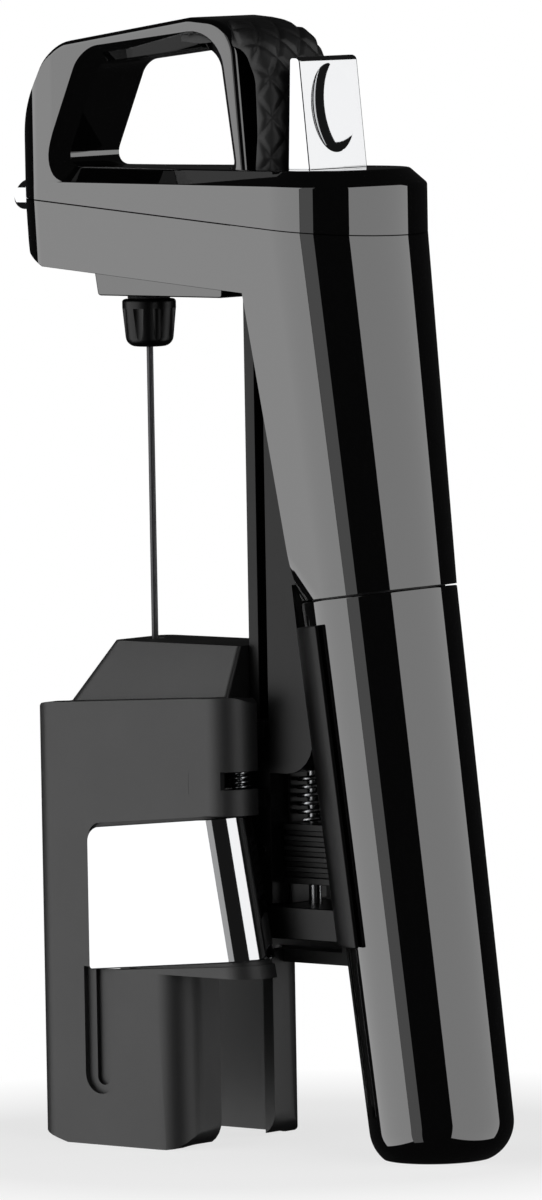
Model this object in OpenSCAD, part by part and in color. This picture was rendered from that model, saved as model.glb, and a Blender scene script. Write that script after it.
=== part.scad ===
// Needle wine pourer: head with handle, slanted capsule cup, rail and spring clamp.
// +Z is up, -Y is the spout side, X is across. The origin is on the floor under the
// middle of the part. All sizes are in millimetres.

/* [Head] */
// Height of the head's top above the floor
head_top = 227.5; // [189:0.5:274]
// Height of the head at its front, from the top to the underside
head_h = 22.6; // [19:0.2:28]
// Drop of the seam below the top, at the front
seam_drop = 7.2; // [5:0.2:9]
// Slope of the seam and of the underside, degrees down to the rear
head_slope = 4.1; // [2:0.1:7]
// Distance from the needle to the centre of the head's round front
nose_y = 22; // [18:0.5:30]
// Radius of the head's round front, seen from above
nose_r = 12; // [10:0.2:14]
// Radius of the head's round rear, seen from above
head_r = 21; // [19:0.2:24]
// Width of the chamfer round the head's top
top_chamfer = 4; // [2:0.2:5]
// Wall of the two head shells
head_wall = 2.2; // [1.6:0.1:3]

/* [Handle] */
// Height of the handle above the head's top
handle_h = 35.1; // [29:0.5:42]
// Half width of the handle frame
handle_hw = 12.5; // [10:0.5:14]
// Thickness of the bars round the finger opening
handle_bar = 6.5; // [5:0.5:9]
// How far the rubber grip stands wider than the frame, on each side
grip_swell = 0.8; // [0.4:0.1:1.5]

/* [Trigger] */
// Height of the trigger above the head's top
trigger_h = 25.8; // [21:0.2:31]
// Half width of the trigger
trigger_hw = 10.5; // [8:0.5:12]
// Radius of the trigger's pin
trigger_pin_r = 1.5; // [1.2:0.1:1.8]

/* [Spout and needle] */
// Outer radius of the spout stub
spout_r = 3.5; // [2.8:0.1:4.2]
// Length of the spout stub in front of the head
spout_out = 4.5; // [3:0.5:9]
// Outer radius of the needle
needle_r = 0.78; // [0.6:0.02:1]
// How far the needle's tip stands inside its guide when the clamp is down
needle_in_guide = 2.6; // [1:0.1:8]
// Height of the needle hub
hub_h = 11.1; // [9:0.1:13]
// Top radius of the needle hub
hub_r = 6.35; // [5.6:0.05:7.4]
// Thickness of the needle washer
washer_t = 0.8; // [0.6:0.1:1.2]

/* [Capsule cup] */
// Tilt of the cup's axis
cup_tilt = 7.5; // [5:0.5:9]
// Radius of the cup at its mouth
cup_r = 18.1; // [15:0.1:21.8]
// How much smaller the cup's radius is at its foot
cup_taper = 1.5; // [0.5:0.1:2.5]
// Height of the seam between sleeve and cup
cup_seam = 130; // [112:1:150]
// Wall of the cup and of the sleeve
cup_wall = 2.2; // [1.6:0.1:2.8]
// Radius of the gas capsule
capsule_r = 11; // [9.4:0.1:11.8]
// Length of the gas capsule's body
capsule_len = 92; // [78:1:98]

/* [Rail] */
// Distance from the needle to the rail's front face
rail_y = 34.5; // [33:0.5:40]
// Width of the rail's front flange
flange_w = 14; // [11.5:0.1:16.8]
// Thickness of the rail's front flange
flange_t = 3; // [2.5:0.1:4]
// Width of the rail's web
web_w = 7; // [6:0.5:8]
// Depth of the rail's web
web_d = 5.5; // [5:0.1:7]
// Half width of the rail housing
housing_hw = 10.5; // [9.5:0.1:11]
// Height of the housing's lower end
housing_bottom = 88; // [82:1:96]
// Underside and top of the rail foot
foot_bottom = 49.5; // [46:0.5:56]
// Thickness of the rail foot
foot_t = 7.5; // [6:0.5:9]

/* [Clamp] */
// Half width of the clamp over its jaws
jaw_hw = 23; // [19:0.1:27.6]
// Distance from the needle to the clamp's front
jaw_front = 20; // [19:0.2:23]
// Height of the jaws' top edge above the floor
jaw_top = 102.7; // [94:0.5:108]
// Wall of the jaws
jaw_wall = 3; // [2.2:0.1:3.4]
// Gap between the jaws at the front
jaw_gap = 17; // [14:0.5:20]
// Height of the hood above the jaws' top edge
hood_rise = 14.3; // [10:0.5:16]
// Bottle neck radius that the pads are shaped to
neck_r = 14.5; // [13.5:0.1:15.5]
// Angle that each jaw opens
jaw_open = 12; // [8:0.5:12]
// Radius of the jaw hinge pins
hinge_pin_r = 1.5; // [1.2:0.1:1.8]
// Thickness of the bright jaw plates
plate_t = 1.5; // [1:0.1:2]
// How far the plates stand proud of the jaws
plate_proud = 0.6; // [0.3:0.1:1]
// Radius of the detent pins
detent_r = 1.5; // [1.2:0.1:1.8]

/* [Fits] */
// Clearance round fixed parts in their seats
seat_fit = 0.04; // [0.02:0.01:0.08]
// Radial clearance of a turning or sliding shaft
run_fit = 0.08; // [0.03:0.01:0.1]
// Gap between parts that slide past each other
slide_gap = 0.3; // [0.2:0.05:0.4]
// Radius of the small screws' shanks
screw_r = 1.1; // [0.9:0.1:1.3]

/* [Hidden] */
$fn = 48;
eps = 0.01;
far = 400;

// The needle stands this far in front of the origin.
needle_y = -31.5;

// Head heights and lines
nose_front = -nose_y - nose_r;
cup_y = rail_y + 15.4 + cup_r;
head_rear_y = cup_y - 11;
head_rear = head_rear_y + head_r;
plan_lean = asin((head_r - nose_r) / (head_rear_y + nose_y));
head_bottom = head_top - head_h;
function slope_z(z_front, y) = z_front - (y - nose_front) * tan(head_slope);
function seam_z(y) = slope_z(head_top - seam_drop, y);
function under_z(y) = slope_z(head_bottom, y);
chamfer_h = top_chamfer * 0.9;
roof_z = head_top - head_wall;

// Handle: the posts go through the head's roof and end inside it.
post_bottom = head_top - 5.2;
handle_top = head_top + handle_h;
handle_rear_y = rail_y + 14.5;
frame_rear_y = handle_rear_y - 8;
opening_front_y = nose_front + 17;
opening_rear_y = frame_rear_y - handle_bar;
opening_rear_top_y = opening_rear_y - 4.5;

// Trigger
trigger_y = rail_y + 19.5;
trigger_z = head_top - 5.5;
trigger_front = handle_rear_y + 2;
trigger_thick = 6.5;
trigger_boss_r = trigger_pin_r + 2.7;
lever_hw = 3.5;
lever_drop = 14;
trigger_max = 5.5;
slot_gap = 0.7;

// Spout and needle
spout_z = head_top - 7;
spout_bore = 1.4;
spout_barrel_r = spout_r + 0.3;
spout_flange_r = spout_r + 1.5;
spout_seat = head_wall + 0.4;
spout_flange_t = 1.6;
plate_z = head_top - 30;
plate_front = -8;
plate_rear = rail_y - 4.5;
plate_hw = 9;
socket_r = 6;
socket_hw = 8;
socket_floor = under_z(-socket_hw) + head_wall / cos(head_slope) + 0.01;
stud_r = 3;
stud_len = 7;
washer_r = 5;
washer_top = plate_z - 0.1;
hub_top = washer_top - washer_t - 0.1;
hub_bottom = hub_top - hub_h;
needle_point = 4;

// Cup axis: cup coordinates have z = 0 at the seam and rise along the axis.
cup_down = cup_seam / cos(cup_tilt) + 1.6;
cup_foot_r = cup_r - cup_taper;
function cup_outer_r(z) = cup_r + cup_taper * z / cup_down;
seam_gap = 0.4;
cup_mouth_r = cup_r - cup_wall - 0.4;
spigot_r = cup_mouth_r - run_fit;
spigot_down = 12;
collar_up = 28;
collar_flange_r = cup_r - cup_wall - 0.1;
collar_bore = capsule_r + 0.9;
capsule_shoulder = 4;
capsule_wall = 1.4;
capsule_neck_r = 4;
capsule_neck_top = 18;
capsule_top_bore = 1.5;
valve_r = 9;
valve_base = capsule_neck_top + 2.2;
valve_top = (head_top - 19.5 - cup_seam) / cos(cup_tilt) - 3;
valve_z = head_top - 17.5;
valve_front = rail_y + 26.5;
valve_depth = 12;
valve_boss_r = 7;
stem_r = 1.5;
stem_head_r = 3;
lever_rear = trigger_y + 2.5;
stem_front = lever_rear + 0.3;
stem_head_t = 1;
guard_gap = 0.6;
guard_t = 1.2;
guard_low = (foot_bottom - cup_seam) / cos(cup_tilt) - 1;
guard_high = -6;

// Rail
flange_rear = rail_y + flange_t;
web_rear = flange_rear + web_d;
foot_top = foot_bottom + foot_t;
foot_hw = 10;
rail_top = slope_z(head_top - 21.5, rail_y + 8) + head_wall + 1.8;

// Clamp heights
hood_top = jaw_top + hood_rise;
roof_in = jaw_top - jaw_wall;
lug_t = 4;
lug_top = roof_in + 0.3;
lug_low = jaw_top - 22.7;
knuckle_low = lug_low + lug_t + 5.3;
knuckle_high = lug_top - lug_t - 0.3;
lug_r = hinge_pin_r + 2.5;
hinge_y = rail_y + 2.5;
slider_low = foot_top + 0.5;
slider_hw = flange_w / 2 + 2.8;
hinge_x = slider_hw + lug_r + 0.2;
slider_rear = web_rear - slide_gap;
slider_front = rail_y - 3.5;
hood_hw = jaw_hw - jaw_wall - 3;
hood_floor = lug_low + 4;
hood_front = -jaw_front + jaw_wall + 1;
hood_rear = rail_y - slide_gap;
hood_wall = 3;
stop_t = 3;
stop_z = hood_floor - stop_t;
guide_r = 3;
guide_low = hood_floor + 10;
guide_high = hood_top - 5;
needle_tip = guide_high - needle_in_guide;

// Jaw heights and outlines
leg_rear = jaw_front + 6;
leg_edge_x = 9.7;
tail_bottom = 41;
tail_top = lug_low - 0.6;
tail_rear_low = rail_y + 12.5;
tail_rear_high = rail_y + 5;
tail_in = housing_hw + 3.2;
upper_rear = rail_y + 3.5;
jaw_rise = 3.3;
upper_in = hinge_x + lug_r + 0.6;
neck_low = 46;
neck_high = 76;
pad_hw = 9;
slot_y = 0.7;
slot_low = 12;

// Basic shape helpers

function flat(p) = [p[0], p[1]];
function unit(v) = v / norm(v);
function corner_r(p) = len(p) > 2 ? p[2] : 0;
// Points of one rounded corner at p, between its neighbours a and b.
function corner(a, p, b, r, n) =
    let (
        u = unit(a - p),
        v = unit(b - p),
        half = acos(u * v) / 2,
        t = r / tan(half),
        c = p + unit(u + v) * r / sin(half),
        s = p + u * t - c,
        e = p + v * t - c,
        from = atan2(s[1], s[0]),
        turn = (atan2(e[1], e[0]) - from + 540) % 360 - 180
    )
    [for (k = [0 : n]) c + r * [cos(from + turn * k / n), sin(from + turn * k / n)]];
// An outline whose corners [a, b, r] are rounded with radius r.
function rounded(pts, n = 6) =
    let (count = len(pts))
    [
        for (i = [0 : count - 1])
            let (p = pts[i], r = corner_r(p))
            each r == 0
                ? [flat(p)]
                : corner(flat(pts[(i + count - 1) % count]), flat(p),
                         flat(pts[(i + 1) % count]), r, n)
    ];
// Extrudes a side outline, drawn as Y and Z, across the middle plane.
module side(half_w) {
    rotate([90, 0, 90]) linear_extrude(2 * half_w, center = true) children();
}
// A bar between two heights, cut from an X and Y outline.
module slab(low, high) {
    translate([0, 0, low]) linear_extrude(high - low) children();
}
module box(low, high) {
    translate(low) cube(high - low);
}
module rod(at, r, h) {
    translate(at) cylinder(r = r, h = h);
}
// A rod along +Y, starting at the given point.
module rod_y(at, r, h) {
    translate(at) rotate([-90, 0, 0]) cylinder(r = r, h = h);
}
// A rod along X, centred on the middle plane.
module rod_x(y, z, r, half_w) {
    translate([-half_w, y, z]) rotate([0, 90, 0]) cylinder(r = r, h = 2 * half_w);
}
// Moves its children from the needle's axis to the part's own origin.
module placed() {
    translate([0, needle_y, 0]) children();
}
// Puts its children in cup coordinates.
module on_cup() {
    translate([0, cup_y, cup_seam]) rotate([cup_tilt, 0, 0]) children();
}
module both_sides() {
    children();
    mirror([1, 0, 0]) children();
}

// A wire coil about +Z as one closed tube.
function ring_at(turn, r, wire, pitch, sides) =
    [
        for (k = [0 : sides - 1])
            let (a = 360 * turn, b = 360 * k / sides, d = r + wire * cos(b))
            [d * cos(a), d * sin(a), pitch * turn + wire * sin(b)]
    ];
module coil(turns, r, wire, pitch, sides = 6, steps = 12) {
    rings = floor(turns * steps);
    points = [for (i = [0 : rings]) each ring_at(i / steps, r, wire, pitch, sides)];
    walls = [
        for (i = [0 : rings - 1], k = [0 : sides - 1])
            let (a = i * sides + k, b = i * sides + (k + 1) % sides)
            [a, b, b + sides, a + sides]
    ];
    start = [for (k = [sides - 1 : -1 : 0]) k];
    end = [for (k = [0 : sides - 1]) rings * sides + k];
    polyhedron(points, concat([start], walls, [end]), convexity = 8);
}

// Head

// Head seen from above: two circles and their common tangents, set in by inset.
module head_plan(inset) {
    front = nose_r - inset;
    rear = head_r - inset;
    translate([0, -nose_y]) circle(front);
    translate([0, head_rear_y]) circle(rear);
    polygon([
        [front * cos(plan_lean), -nose_y - front * sin(plan_lean)],
        [rear * cos(plan_lean), head_rear_y - rear * sin(plan_lean)],
        [-rear * cos(plan_lean), head_rear_y - rear * sin(plan_lean)],
        [-front * cos(plan_lean), -nose_y - front * sin(plan_lean)]
    ]);
}
// The head without its sleeve, grown inwards by inset.
module head_form(inset) {
    rise = inset / cos(head_slope);
    intersection() {
        hull() {
            slab(head_bottom - 20, head_top - chamfer_h - inset) head_plan(inset);
            slab(head_top - inset - eps, head_top - inset) head_plan(inset + top_chamfer);
        }
        side(head_r + 1) polygon(rounded([
            [nose_front + inset, head_top + 10],
            [nose_front + inset, under_z(nose_front + inset) + rise, nose_r - inset],
            [head_rear + 5, under_z(head_rear + 5) + rise],
            [head_rear + 5, head_top + 10]
        ]));
    }
}
// The slanted sleeve, blending from the head's rear to the cup's round mouth.
module sleeve_form(inset) {
    hull() {
        on_cup() rod([0, 0, -inset], cup_r - inset, 0.5);
        slab(seam_z(head_rear) - 1.5, seam_z(head_rear) - 0.5) {
            translate([0, head_rear_y]) circle(head_r - inset);
            translate([0, head_rear_y - 11]) circle(head_r - 11 * sin(plan_lean) - inset);
        }
    }
}
// Everything in front of the sleeve's open front edges.
module sleeve_front() {
    side(far / 8) polygon([
        [rail_y + 22.3, cup_seam],
        [rail_y + 22.3, cup_seam - 20],
        [-far / 4, cup_seam - 20],
        [-far / 4, seam_z(-far / 4)],
        [rail_y + 7, seam_z(rail_y + 7)]
    ]);
}
// All that lies on one side of the seam, up to the given height.
module seam_side(end_z) {
    side(far / 8) polygon([
        [-far / 4, seam_z(-far / 4)],
        [far / 2, seam_z(far / 2)],
        [far / 2, end_z],
        [-far / 4, end_z]
    ]);
}
module above_seam() {
    seam_side(head_top + far / 4);
}
module below_seam() {
    seam_side(-far / 4);
}
screw_spots = [[nose_r - 4.8, -12], [11, rail_y - 6.5]];
screw_len = 20;
screw_head = 1.2;
screw_recess = 1.6;
screw_boss_r = 3;
// Places its children where each head screw enters the underside.
module each_screw_spot() {
    for (spot = screw_spots)
        both_sides() translate([spot[0], spot[1], under_z(spot[1])]) children();
}
module screw_boss() {
    intersection() {
        head_form(head_wall / 2);
        each_screw_spot() rod([0, 0, 0], screw_boss_r, head_h + 10);
    }
}
module screw_holes() {
    each_screw_spot() {
        rod([0, 0, -5], screw_r, screw_len + 5);
        rod([0, 0, -5], 2 * screw_r, screw_recess + 5);
    }
}
module trigger_slot() {
    box([-trigger_hw - slot_gap, trigger_front - 1.6, roof_z - 3],
        [trigger_hw + slot_gap, trigger_front + trigger_thick + 1.8, head_top + 1]);
}
module trigger_lugs() {
    lug_in = trigger_hw + slot_gap + 0.3;
    both_sides() difference() {
        union() {
            box([lug_in, trigger_y - 3.5, trigger_z],
                [lug_in + 2.2, trigger_y + 3.5, roof_z + 0.5]);
            translate([lug_in, trigger_y, trigger_z]) rotate([0, 90, 0])
                cylinder(r = 3.5, h = 2.2);
        }
        rod_x(trigger_y, trigger_z, trigger_pin_r, far / 8);
    }
}
module head_upper_shell() {
    color("#0b0b0c") difference() {
        union() {
            difference() {
                head_form(0);
                head_form(head_wall);
            }
            screw_boss();
            trigger_lugs();
        }
        below_seam();
        handle_posts();
        trigger_slot();
        spout_hole();
        screw_holes();
    }
}
// The room that the spout's barrel and flange take in the head.
module spout_hole() {
    rod_y([0, nose_front - spout_out, spout_z], spout_barrel_r + seat_fit, spout_out + 6);
    rod_y([0, nose_front + spout_seat, spout_z], spout_flange_r + seat_fit, 10);
}
module head_lower_shell() {
    color("#0b0b0c") difference() {
        union() {
            difference() {
                union() {
                    head_form(0);
                    difference() {
                        sleeve_form(0);
                        sleeve_front();
                    }
                }
                head_form(head_wall);
                sleeve_form(cup_wall);
            }
            screw_boss();
        }
        above_seam();
        spout_hole();
        rod([0, 0, plate_z], socket_r + seat_fit, 12);
        box([-housing_hw - 0.2, rail_y, cup_seam],
            [housing_hw + 0.2, rail_y + 24, rail_top]);
        for (y = plate_screw_y) rod([0, y, plate_z], screw_r, 12);
        screw_holes();
    }
}
module head_screws() {
    color("#8d9094") each_screw_spot() {
        rod([0, 0, screw_recess - screw_head], 2 * screw_r, screw_head);
        rod([0, 0, screw_recess], screw_r, screw_len - screw_recess);
    }
}
module handle_posts() {
    side(handle_hw) difference() {
        polygon(rounded([
            [nose_front + 0.6, post_bottom],
            [nose_front + 1, head_top, 20],
            [nose_front + 4.5, head_top + 0.3 * handle_h, 30],
            [nose_front + 14.5, handle_top - 6.6, 12],
            [frame_rear_y - 16, handle_top, 8],
            [frame_rear_y - 3.5, handle_top - 1.2, 9],
            [frame_rear_y, post_bottom]
        ]));
        polygon(rounded([
            [opening_front_y - 1, post_bottom - 1],
            [opening_front_y, head_top, 2],
            [opening_front_y + 10.5, handle_top - 11, 5],
            [opening_rear_top_y, handle_top - handle_bar, 6],
            [opening_rear_y, head_top, 2],
            [opening_rear_y + 1, post_bottom - 1]
        ]));
    }
}
module handle_frame() {
    color("#0b0b0c") difference() {
        intersection() {
            handle_posts();
            slab(post_bottom - 1, handle_top + 1) head_plan(0);
        }
        spout_hole();
    }
}
module handle_grip() {
    color("#1b1b1d") difference() {
        side(handle_hw + grip_swell) polygon(rounded([
            [frame_rear_y - 17, handle_top - 0.6],
            [frame_rear_y - 5, handle_top - 0.3, 8],
            [handle_rear_y - 2.5, handle_top - 7, 12],
            [handle_rear_y, head_top + 0.5 * handle_h, 30],
            [handle_rear_y, head_top],
            [frame_rear_y - 4, head_top],
            [frame_rear_y - 6, handle_top - 8]
        ]));
        handle_posts();
        side(far / 8) polygon([
            [opening_front_y, head_top - 1],
            [opening_front_y, handle_top - 6],
            [frame_rear_y - 5, handle_top - 6],
            [frame_rear_y - 2, head_top - 1]
        ]);
    }
}

// Spout and liquid path

module spout() {
    flange_low = spout_out + spout_seat;
    spout_len = flange_low + spout_flange_t;
    color("#c9ccd0") difference() {
        translate([0, nose_front - spout_out, spout_z]) rotate([-90, 0, 0]) rotate_extrude()
            polygon(rounded([
                [0, 0], [spout_r, 0, 1.2], [spout_r, spout_out],
                [spout_barrel_r, spout_out], [spout_barrel_r, flange_low],
                [spout_flange_r, flange_low], [spout_flange_r, spout_len], [0, spout_len]
            ], 4));
        rod_y([0, nose_front - spout_out - 1, spout_z], spout_bore, spout_out + 10);
    }
}
module spout_tube() {
    start = nose_front + spout_seat + spout_flange_t;
    color("#b9bcc0") difference() {
        rod_y([0, start, spout_z], spout_bore, -socket_hw - start);
        rod_y([0, start - 1, spout_z], spout_bore - 0.5, far / 10);
    }
}
module needle_socket() {
    color("#2a2a2c") difference() {
        union() {
            box([-socket_hw, -socket_hw, socket_floor], [socket_hw, socket_hw, spout_z + 1.6]);
            rod([0, 0, plate_z], socket_r, socket_floor - plate_z + 1);
        }
        rod([0, 0, plate_z - 1], stud_r + run_fit, stud_len + 3);
        rod([0, 0, plate_z + 6], needle_r + run_fit, spout_z - plate_z - 6);
        rod_y([0, -socket_hw - 1, spout_z], spout_bore - 0.5, socket_hw + 1);
    }
}
plate_screw_y = [14, 25];
module needle_plate() {
    color("#0b0b0c") difference() {
        side(plate_hw) polygon(rounded([
            [plate_front, plate_z, 1.5],
            [plate_rear, plate_z, 1],
            [plate_rear, under_z(plate_rear)],
            [plate_front, under_z(plate_front)]
        ]));
        rod([0, 0, plate_z - 1], socket_r + seat_fit, 12);
        for (y = plate_screw_y) {
            rod([0, y, plate_z - 1], screw_r, 12);
            rod([0, y, plate_z - 1], 2 * screw_r, 2.2);
        }
    }
}
module plate_screws() {
    color("#8d9094") for (y = plate_screw_y) {
        rod([0, y, plate_z], 2 * screw_r, 1.2);
        rod([0, y, plate_z + 1.2], screw_r, under_z(y) + head_wall - plate_z - 1.2);
    }
}
module needle_washer() {
    color("#141415") difference() {
        rod([0, 0, washer_top - washer_t], washer_r, washer_t);
        rod([0, 0, washer_top - washer_t - 1], stud_r + run_fit, washer_t + 2);
    }
}
module needle_hub() {
    flutes = 8;
    low_r = hub_r - 0.8;
    color("#101011") difference() {
        union() {
            translate([0, 0, hub_bottom]) rotate_extrude() polygon(rounded([
                [0, 0], [low_r, 0, 2], [hub_r, hub_h, 0.8], [0, hub_h]
            ], 4));
            rod([0, 0, hub_top - 1], stud_r, stud_len + 1);
        }
        for (i = [0 : flutes - 1])
            rotate(360 * i / flutes) rod([hub_r + 1.7, 0, hub_bottom - 1], 2.4, hub_h - 2);
        rod([0, 0, hub_bottom - 1], needle_r, hub_h + stud_len + 2);
    }
}
module needle() {
    color("#9a9da1") difference() {
        union() {
            rod([0, 0, needle_tip + needle_point], needle_r,
                hub_top + stud_len - needle_tip - needle_point);
            translate([0, 0, needle_tip])
                cylinder(r1 = 0.05, r2 = needle_r, h = needle_point);
        }
        rod([0, 0, needle_tip + needle_point + 2], needle_r / 2, far / 2);
    }
}

// Trigger

module trigger_pin() {
    color("#b9bcc0") rod_x(trigger_y, trigger_z, trigger_pin_r, trigger_hw + slot_gap + 2.5);
}
module trigger_spring() {
    wire = 0.35;
    coil_r = trigger_pin_r + 0.2 + wire;
    color("#b9bcc0") translate([lever_hw + 0.8, trigger_y, trigger_z]) rotate([0, 90, 0])
        coil(4, coil_r, wire, 0.8);
}
module trigger() {
    top = head_top + trigger_h;
    low = head_top - 1.2;
    color("#dfe2e6") difference() {
        union() {
            side(trigger_hw) polygon(rounded([
                [trigger_front, low],
                [trigger_front + 1, top, 0.8],
                [trigger_front + 1 + trigger_thick * 0.45, top, 1.2],
                [trigger_front + trigger_thick, head_top, 0.5],
                [trigger_front + trigger_thick, low]
            ], 4));
            box([-lever_hw, trigger_y - 2.5, trigger_z], [lever_hw, trigger_y + 2.5, low + 1]);
            rod_x(trigger_y, trigger_z, trigger_boss_r, lever_hw);
            box([-lever_hw, lever_rear - 5, trigger_z - lever_drop],
                [lever_hw, lever_rear, trigger_z]);
        }
        rod_x(trigger_y, trigger_z, trigger_pin_r + run_fit, far / 8);
        translate([0, trigger_front + trigger_thick + 10.2, top - 0.45 * trigger_h])
            sphere(13);
    }
}

// Gas path

module valve_body() {
    color("#3a3b3e") difference() {
        union() {
            on_cup() {
                rod([0, 0, valve_base], valve_r, valve_top - valve_base);
                rod([0, 0, collar_up], spigot_r, 4);
            }
            rod_y([0, valve_front, valve_z], valve_boss_r, valve_depth);
        }
        rod_y([0, valve_front - 1, valve_z], stem_r + run_fit, 9);
        on_cup() rod([0, 0, valve_base - 1], 1, 9);
    }
}
module valve_stem() {
    color("#b9bcc0") {
        rod_y([0, stem_front, valve_z], stem_head_r, stem_head_t);
        rod_y([0, stem_front + stem_head_t, valve_z], stem_r,
              valve_front + 5 - stem_front - stem_head_t);
    }
}
module valve_spring() {
    wire = 0.3;
    room = valve_front - stem_front - stem_head_t - 0.2;
    turns = 2.5;
    color("#b9bcc0") translate([0, stem_front + stem_head_t + 0.1 + wire, valve_z])
        rotate([-90, 0, 0]) coil(turns, stem_r + 0.2 + wire, wire, (room - 2 * wire) / turns);
}
module piercing_pin() {
    color("#b9bcc0") on_cup() {
        translate([0, 0, capsule_neck_top - 3]) cylinder(r1 = 0.2, r2 = 1, h = 3);
        rod([0, 0, capsule_neck_top], 1, valve_base - capsule_neck_top + 8);
    }
}
module capsule_seal() {
    color("#161616") on_cup() translate([0, 0, valve_base - 0.9]) rotate_extrude()
        translate([2.6, 0]) circle(0.9, $fn = 16);
}
module threaded_collar() {
    thread_rings = 5;
    color("#3a3b3e") on_cup() difference() {
        union() {
            rod([0, 0, -spigot_down], spigot_r, spigot_down + collar_up);
            rod([0, 0, 0.5], collar_flange_r, 5);
        }
        rod([0, 0, -spigot_down - 1], collar_bore, spigot_down + collar_up + 2);
        for (i = [0 : thread_rings - 1])
            translate([0, 0, -spigot_down + 1.6 + 2 * i]) difference() {
                cylinder(r = spigot_r + 1, h = 0.9);
                translate([0, 0, -1]) cylinder(r = spigot_r - 0.6, h = 3);
            }
    }
}
module gas_tube() {
    tube_x = valve_boss_r - 1.6;
    color("#b9bcc0") difference() {
        rod_y([tube_x, socket_hw, valve_z], 1.5, valve_front - socket_hw);
        rod_y([tube_x, socket_hw - 1, valve_z], 0.9, far / 4);
    }
}
module gas_capsule() {
    color("#a9adb2") on_cup() difference() {
        translate([0, 0, capsule_shoulder - capsule_len]) rotate_extrude() polygon(rounded([
            [0, 0],
            [capsule_r, 0, 8],
            [capsule_r, capsule_len, 6],
            [capsule_neck_r, capsule_len + 4, 2],
            [capsule_neck_r, capsule_len - capsule_shoulder + capsule_neck_top],
            [0, capsule_len - capsule_shoulder + capsule_neck_top]
        ]));
        rod([0, 0, -1], capsule_top_bore, capsule_neck_top + 2);
        translate([0, 0, capsule_shoulder - capsule_len + capsule_wall]) rotate_extrude()
            polygon(rounded([
                [0, 0],
                [capsule_r - capsule_wall, 0, 7],
                [capsule_r - capsule_wall, capsule_len - 3, 6],
                [0, capsule_len - 3]
            ]));
    }
}
module capsule_cup() {
    inner_low = -cup_down + 5;
    thread_r = cup_mouth_r;
    color("#0b0b0c") difference() {
        on_cup() difference() {
            translate([0, 0, -cup_down]) rotate_extrude() polygon(rounded([
                [0, 0], [cup_foot_r, 0, 8], [cup_r, cup_down - seam_gap, 0.4],
                [0, cup_down - seam_gap]
            ]));
            rod([0, 0, -spigot_down - 2], thread_r, spigot_down + 3);
            translate([0, 0, inner_low])
                cylinder(r1 = cup_foot_r - cup_wall - 0.4, r2 = thread_r - 0.3,
                         h = -spigot_down - 1 - inner_low);
        }
        box([-far / 4, 0, -30], [far / 4, far / 2, 0]);
    }
}
module cup_cushion() {
    low = -cup_down + 5;
    top = capsule_shoulder - capsule_len - 0.3;
    color("#242426") on_cup() difference() {
        union() {
            rod([0, 0, low], cup_foot_r - cup_wall - 1.2, 4);
            rod([0, 0, low + 4], capsule_r - 2, top - low - 4);
        }
        rod([0, 0, low + 6], capsule_r - 5, far / 4);
    }
}

// Rail

module spine_rail() {
    color("#101011") difference() {
        slab(foot_top, rail_top) {
            translate([-flange_w / 2, rail_y]) square([flange_w, flange_t]);
            translate([-web_w / 2, flange_rear]) square([web_w, web_d]);
        }
        rod([0, flange_rear + web_d / 2, foot_top - 1], screw_r, 12);
    }
}
// The space that the cup guard and the cup take, or the parts behind the sleeve's seam.
module cup_space() {
    grow = guard_gap + guard_t + seat_fit / 2;
    on_cup() {
        translate([0, 0, guard_low]) cylinder(
            r1 = cup_outer_r(guard_low) + grow, r2 = cup_outer_r(guard_high) + grow,
            h = guard_high - guard_low);
        rod([0, 0, guard_high - eps], cup_r + grow, 10);
        rod([0, 0, 3], collar_flange_r + 0.3, far / 2);
    }
}
module rail_housing() {
    color("#0d0d0e") difference() {
        side(housing_hw) polygon(rounded([
            [web_rear, housing_bottom],
            [web_rear + 14, housing_bottom, 8],
            [web_rear + 9.5, cup_seam + 5],
            [web_rear + 5, rail_top],
            [web_rear, rail_top]
        ]));
        cup_space();
        rod([0, rail_y + 13, housing_bottom - 1], guide_rod_r, 3);
    }
}
module rail_foot() {
    color("#101011") difference() {
        slab(foot_bottom, foot_top) translate([-foot_hw, rail_y]) square([2 * foot_hw, 30]);
        cup_space();
        rod([0, flange_rear + web_d / 2, foot_bottom - 1], screw_r, 20);
        rod([0, flange_rear + web_d / 2, foot_bottom - 1], 2 * screw_r, 2.4);
        rod([0, rail_y + 13, foot_bottom + 3], guide_rod_r, 20);
    }
}
module foot_screw() {
    color("#8d9094") {
        rod([0, flange_rear + web_d / 2, foot_bottom], 2 * screw_r, 1.4);
        rod([0, flange_rear + web_d / 2, foot_bottom + 1.4], screw_r, foot_t + 8);
    }
}
module cup_guard() {
    color("#0d0d0e") intersection() {
        on_cup() difference() {
            translate([0, 0, guard_low]) cylinder(
                r1 = cup_outer_r(guard_low) + guard_gap + guard_t,
                r2 = cup_outer_r(guard_high) + guard_gap + guard_t,
                h = guard_high - guard_low);
            translate([0, 0, guard_low - 1]) cylinder(
                r1 = cup_outer_r(guard_low - 1) + guard_gap,
                r2 = cup_outer_r(guard_high + 1) + guard_gap,
                h = guard_high - guard_low + 2);
            box([-far / 8, -4, guard_low - 5], [far / 8, far / 8, 5]);
        }
        slab(foot_bottom, cup_seam) translate([-far / 8, 0]) square([far / 4, far / 4]);
    }
}
guide_rod_r = 1.5;
block_low = foot_top + 5;
block_high = block_low + 14;
module guide_rod() {
    color("#b9bcc0")
        rod([0, rail_y + 13, foot_bottom + 3], guide_rod_r, housing_bottom - foot_bottom - 1);
}
module guide_spring() {
    wire = 0.55;
    room = housing_bottom - block_high - 2 * wire - 0.2;
    turns = 5.5;
    color("#b9bcc0") translate([0, rail_y + 13, block_high + 0.1 + wire])
        coil(turns, 3.4, wire, room / turns);
}
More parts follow.
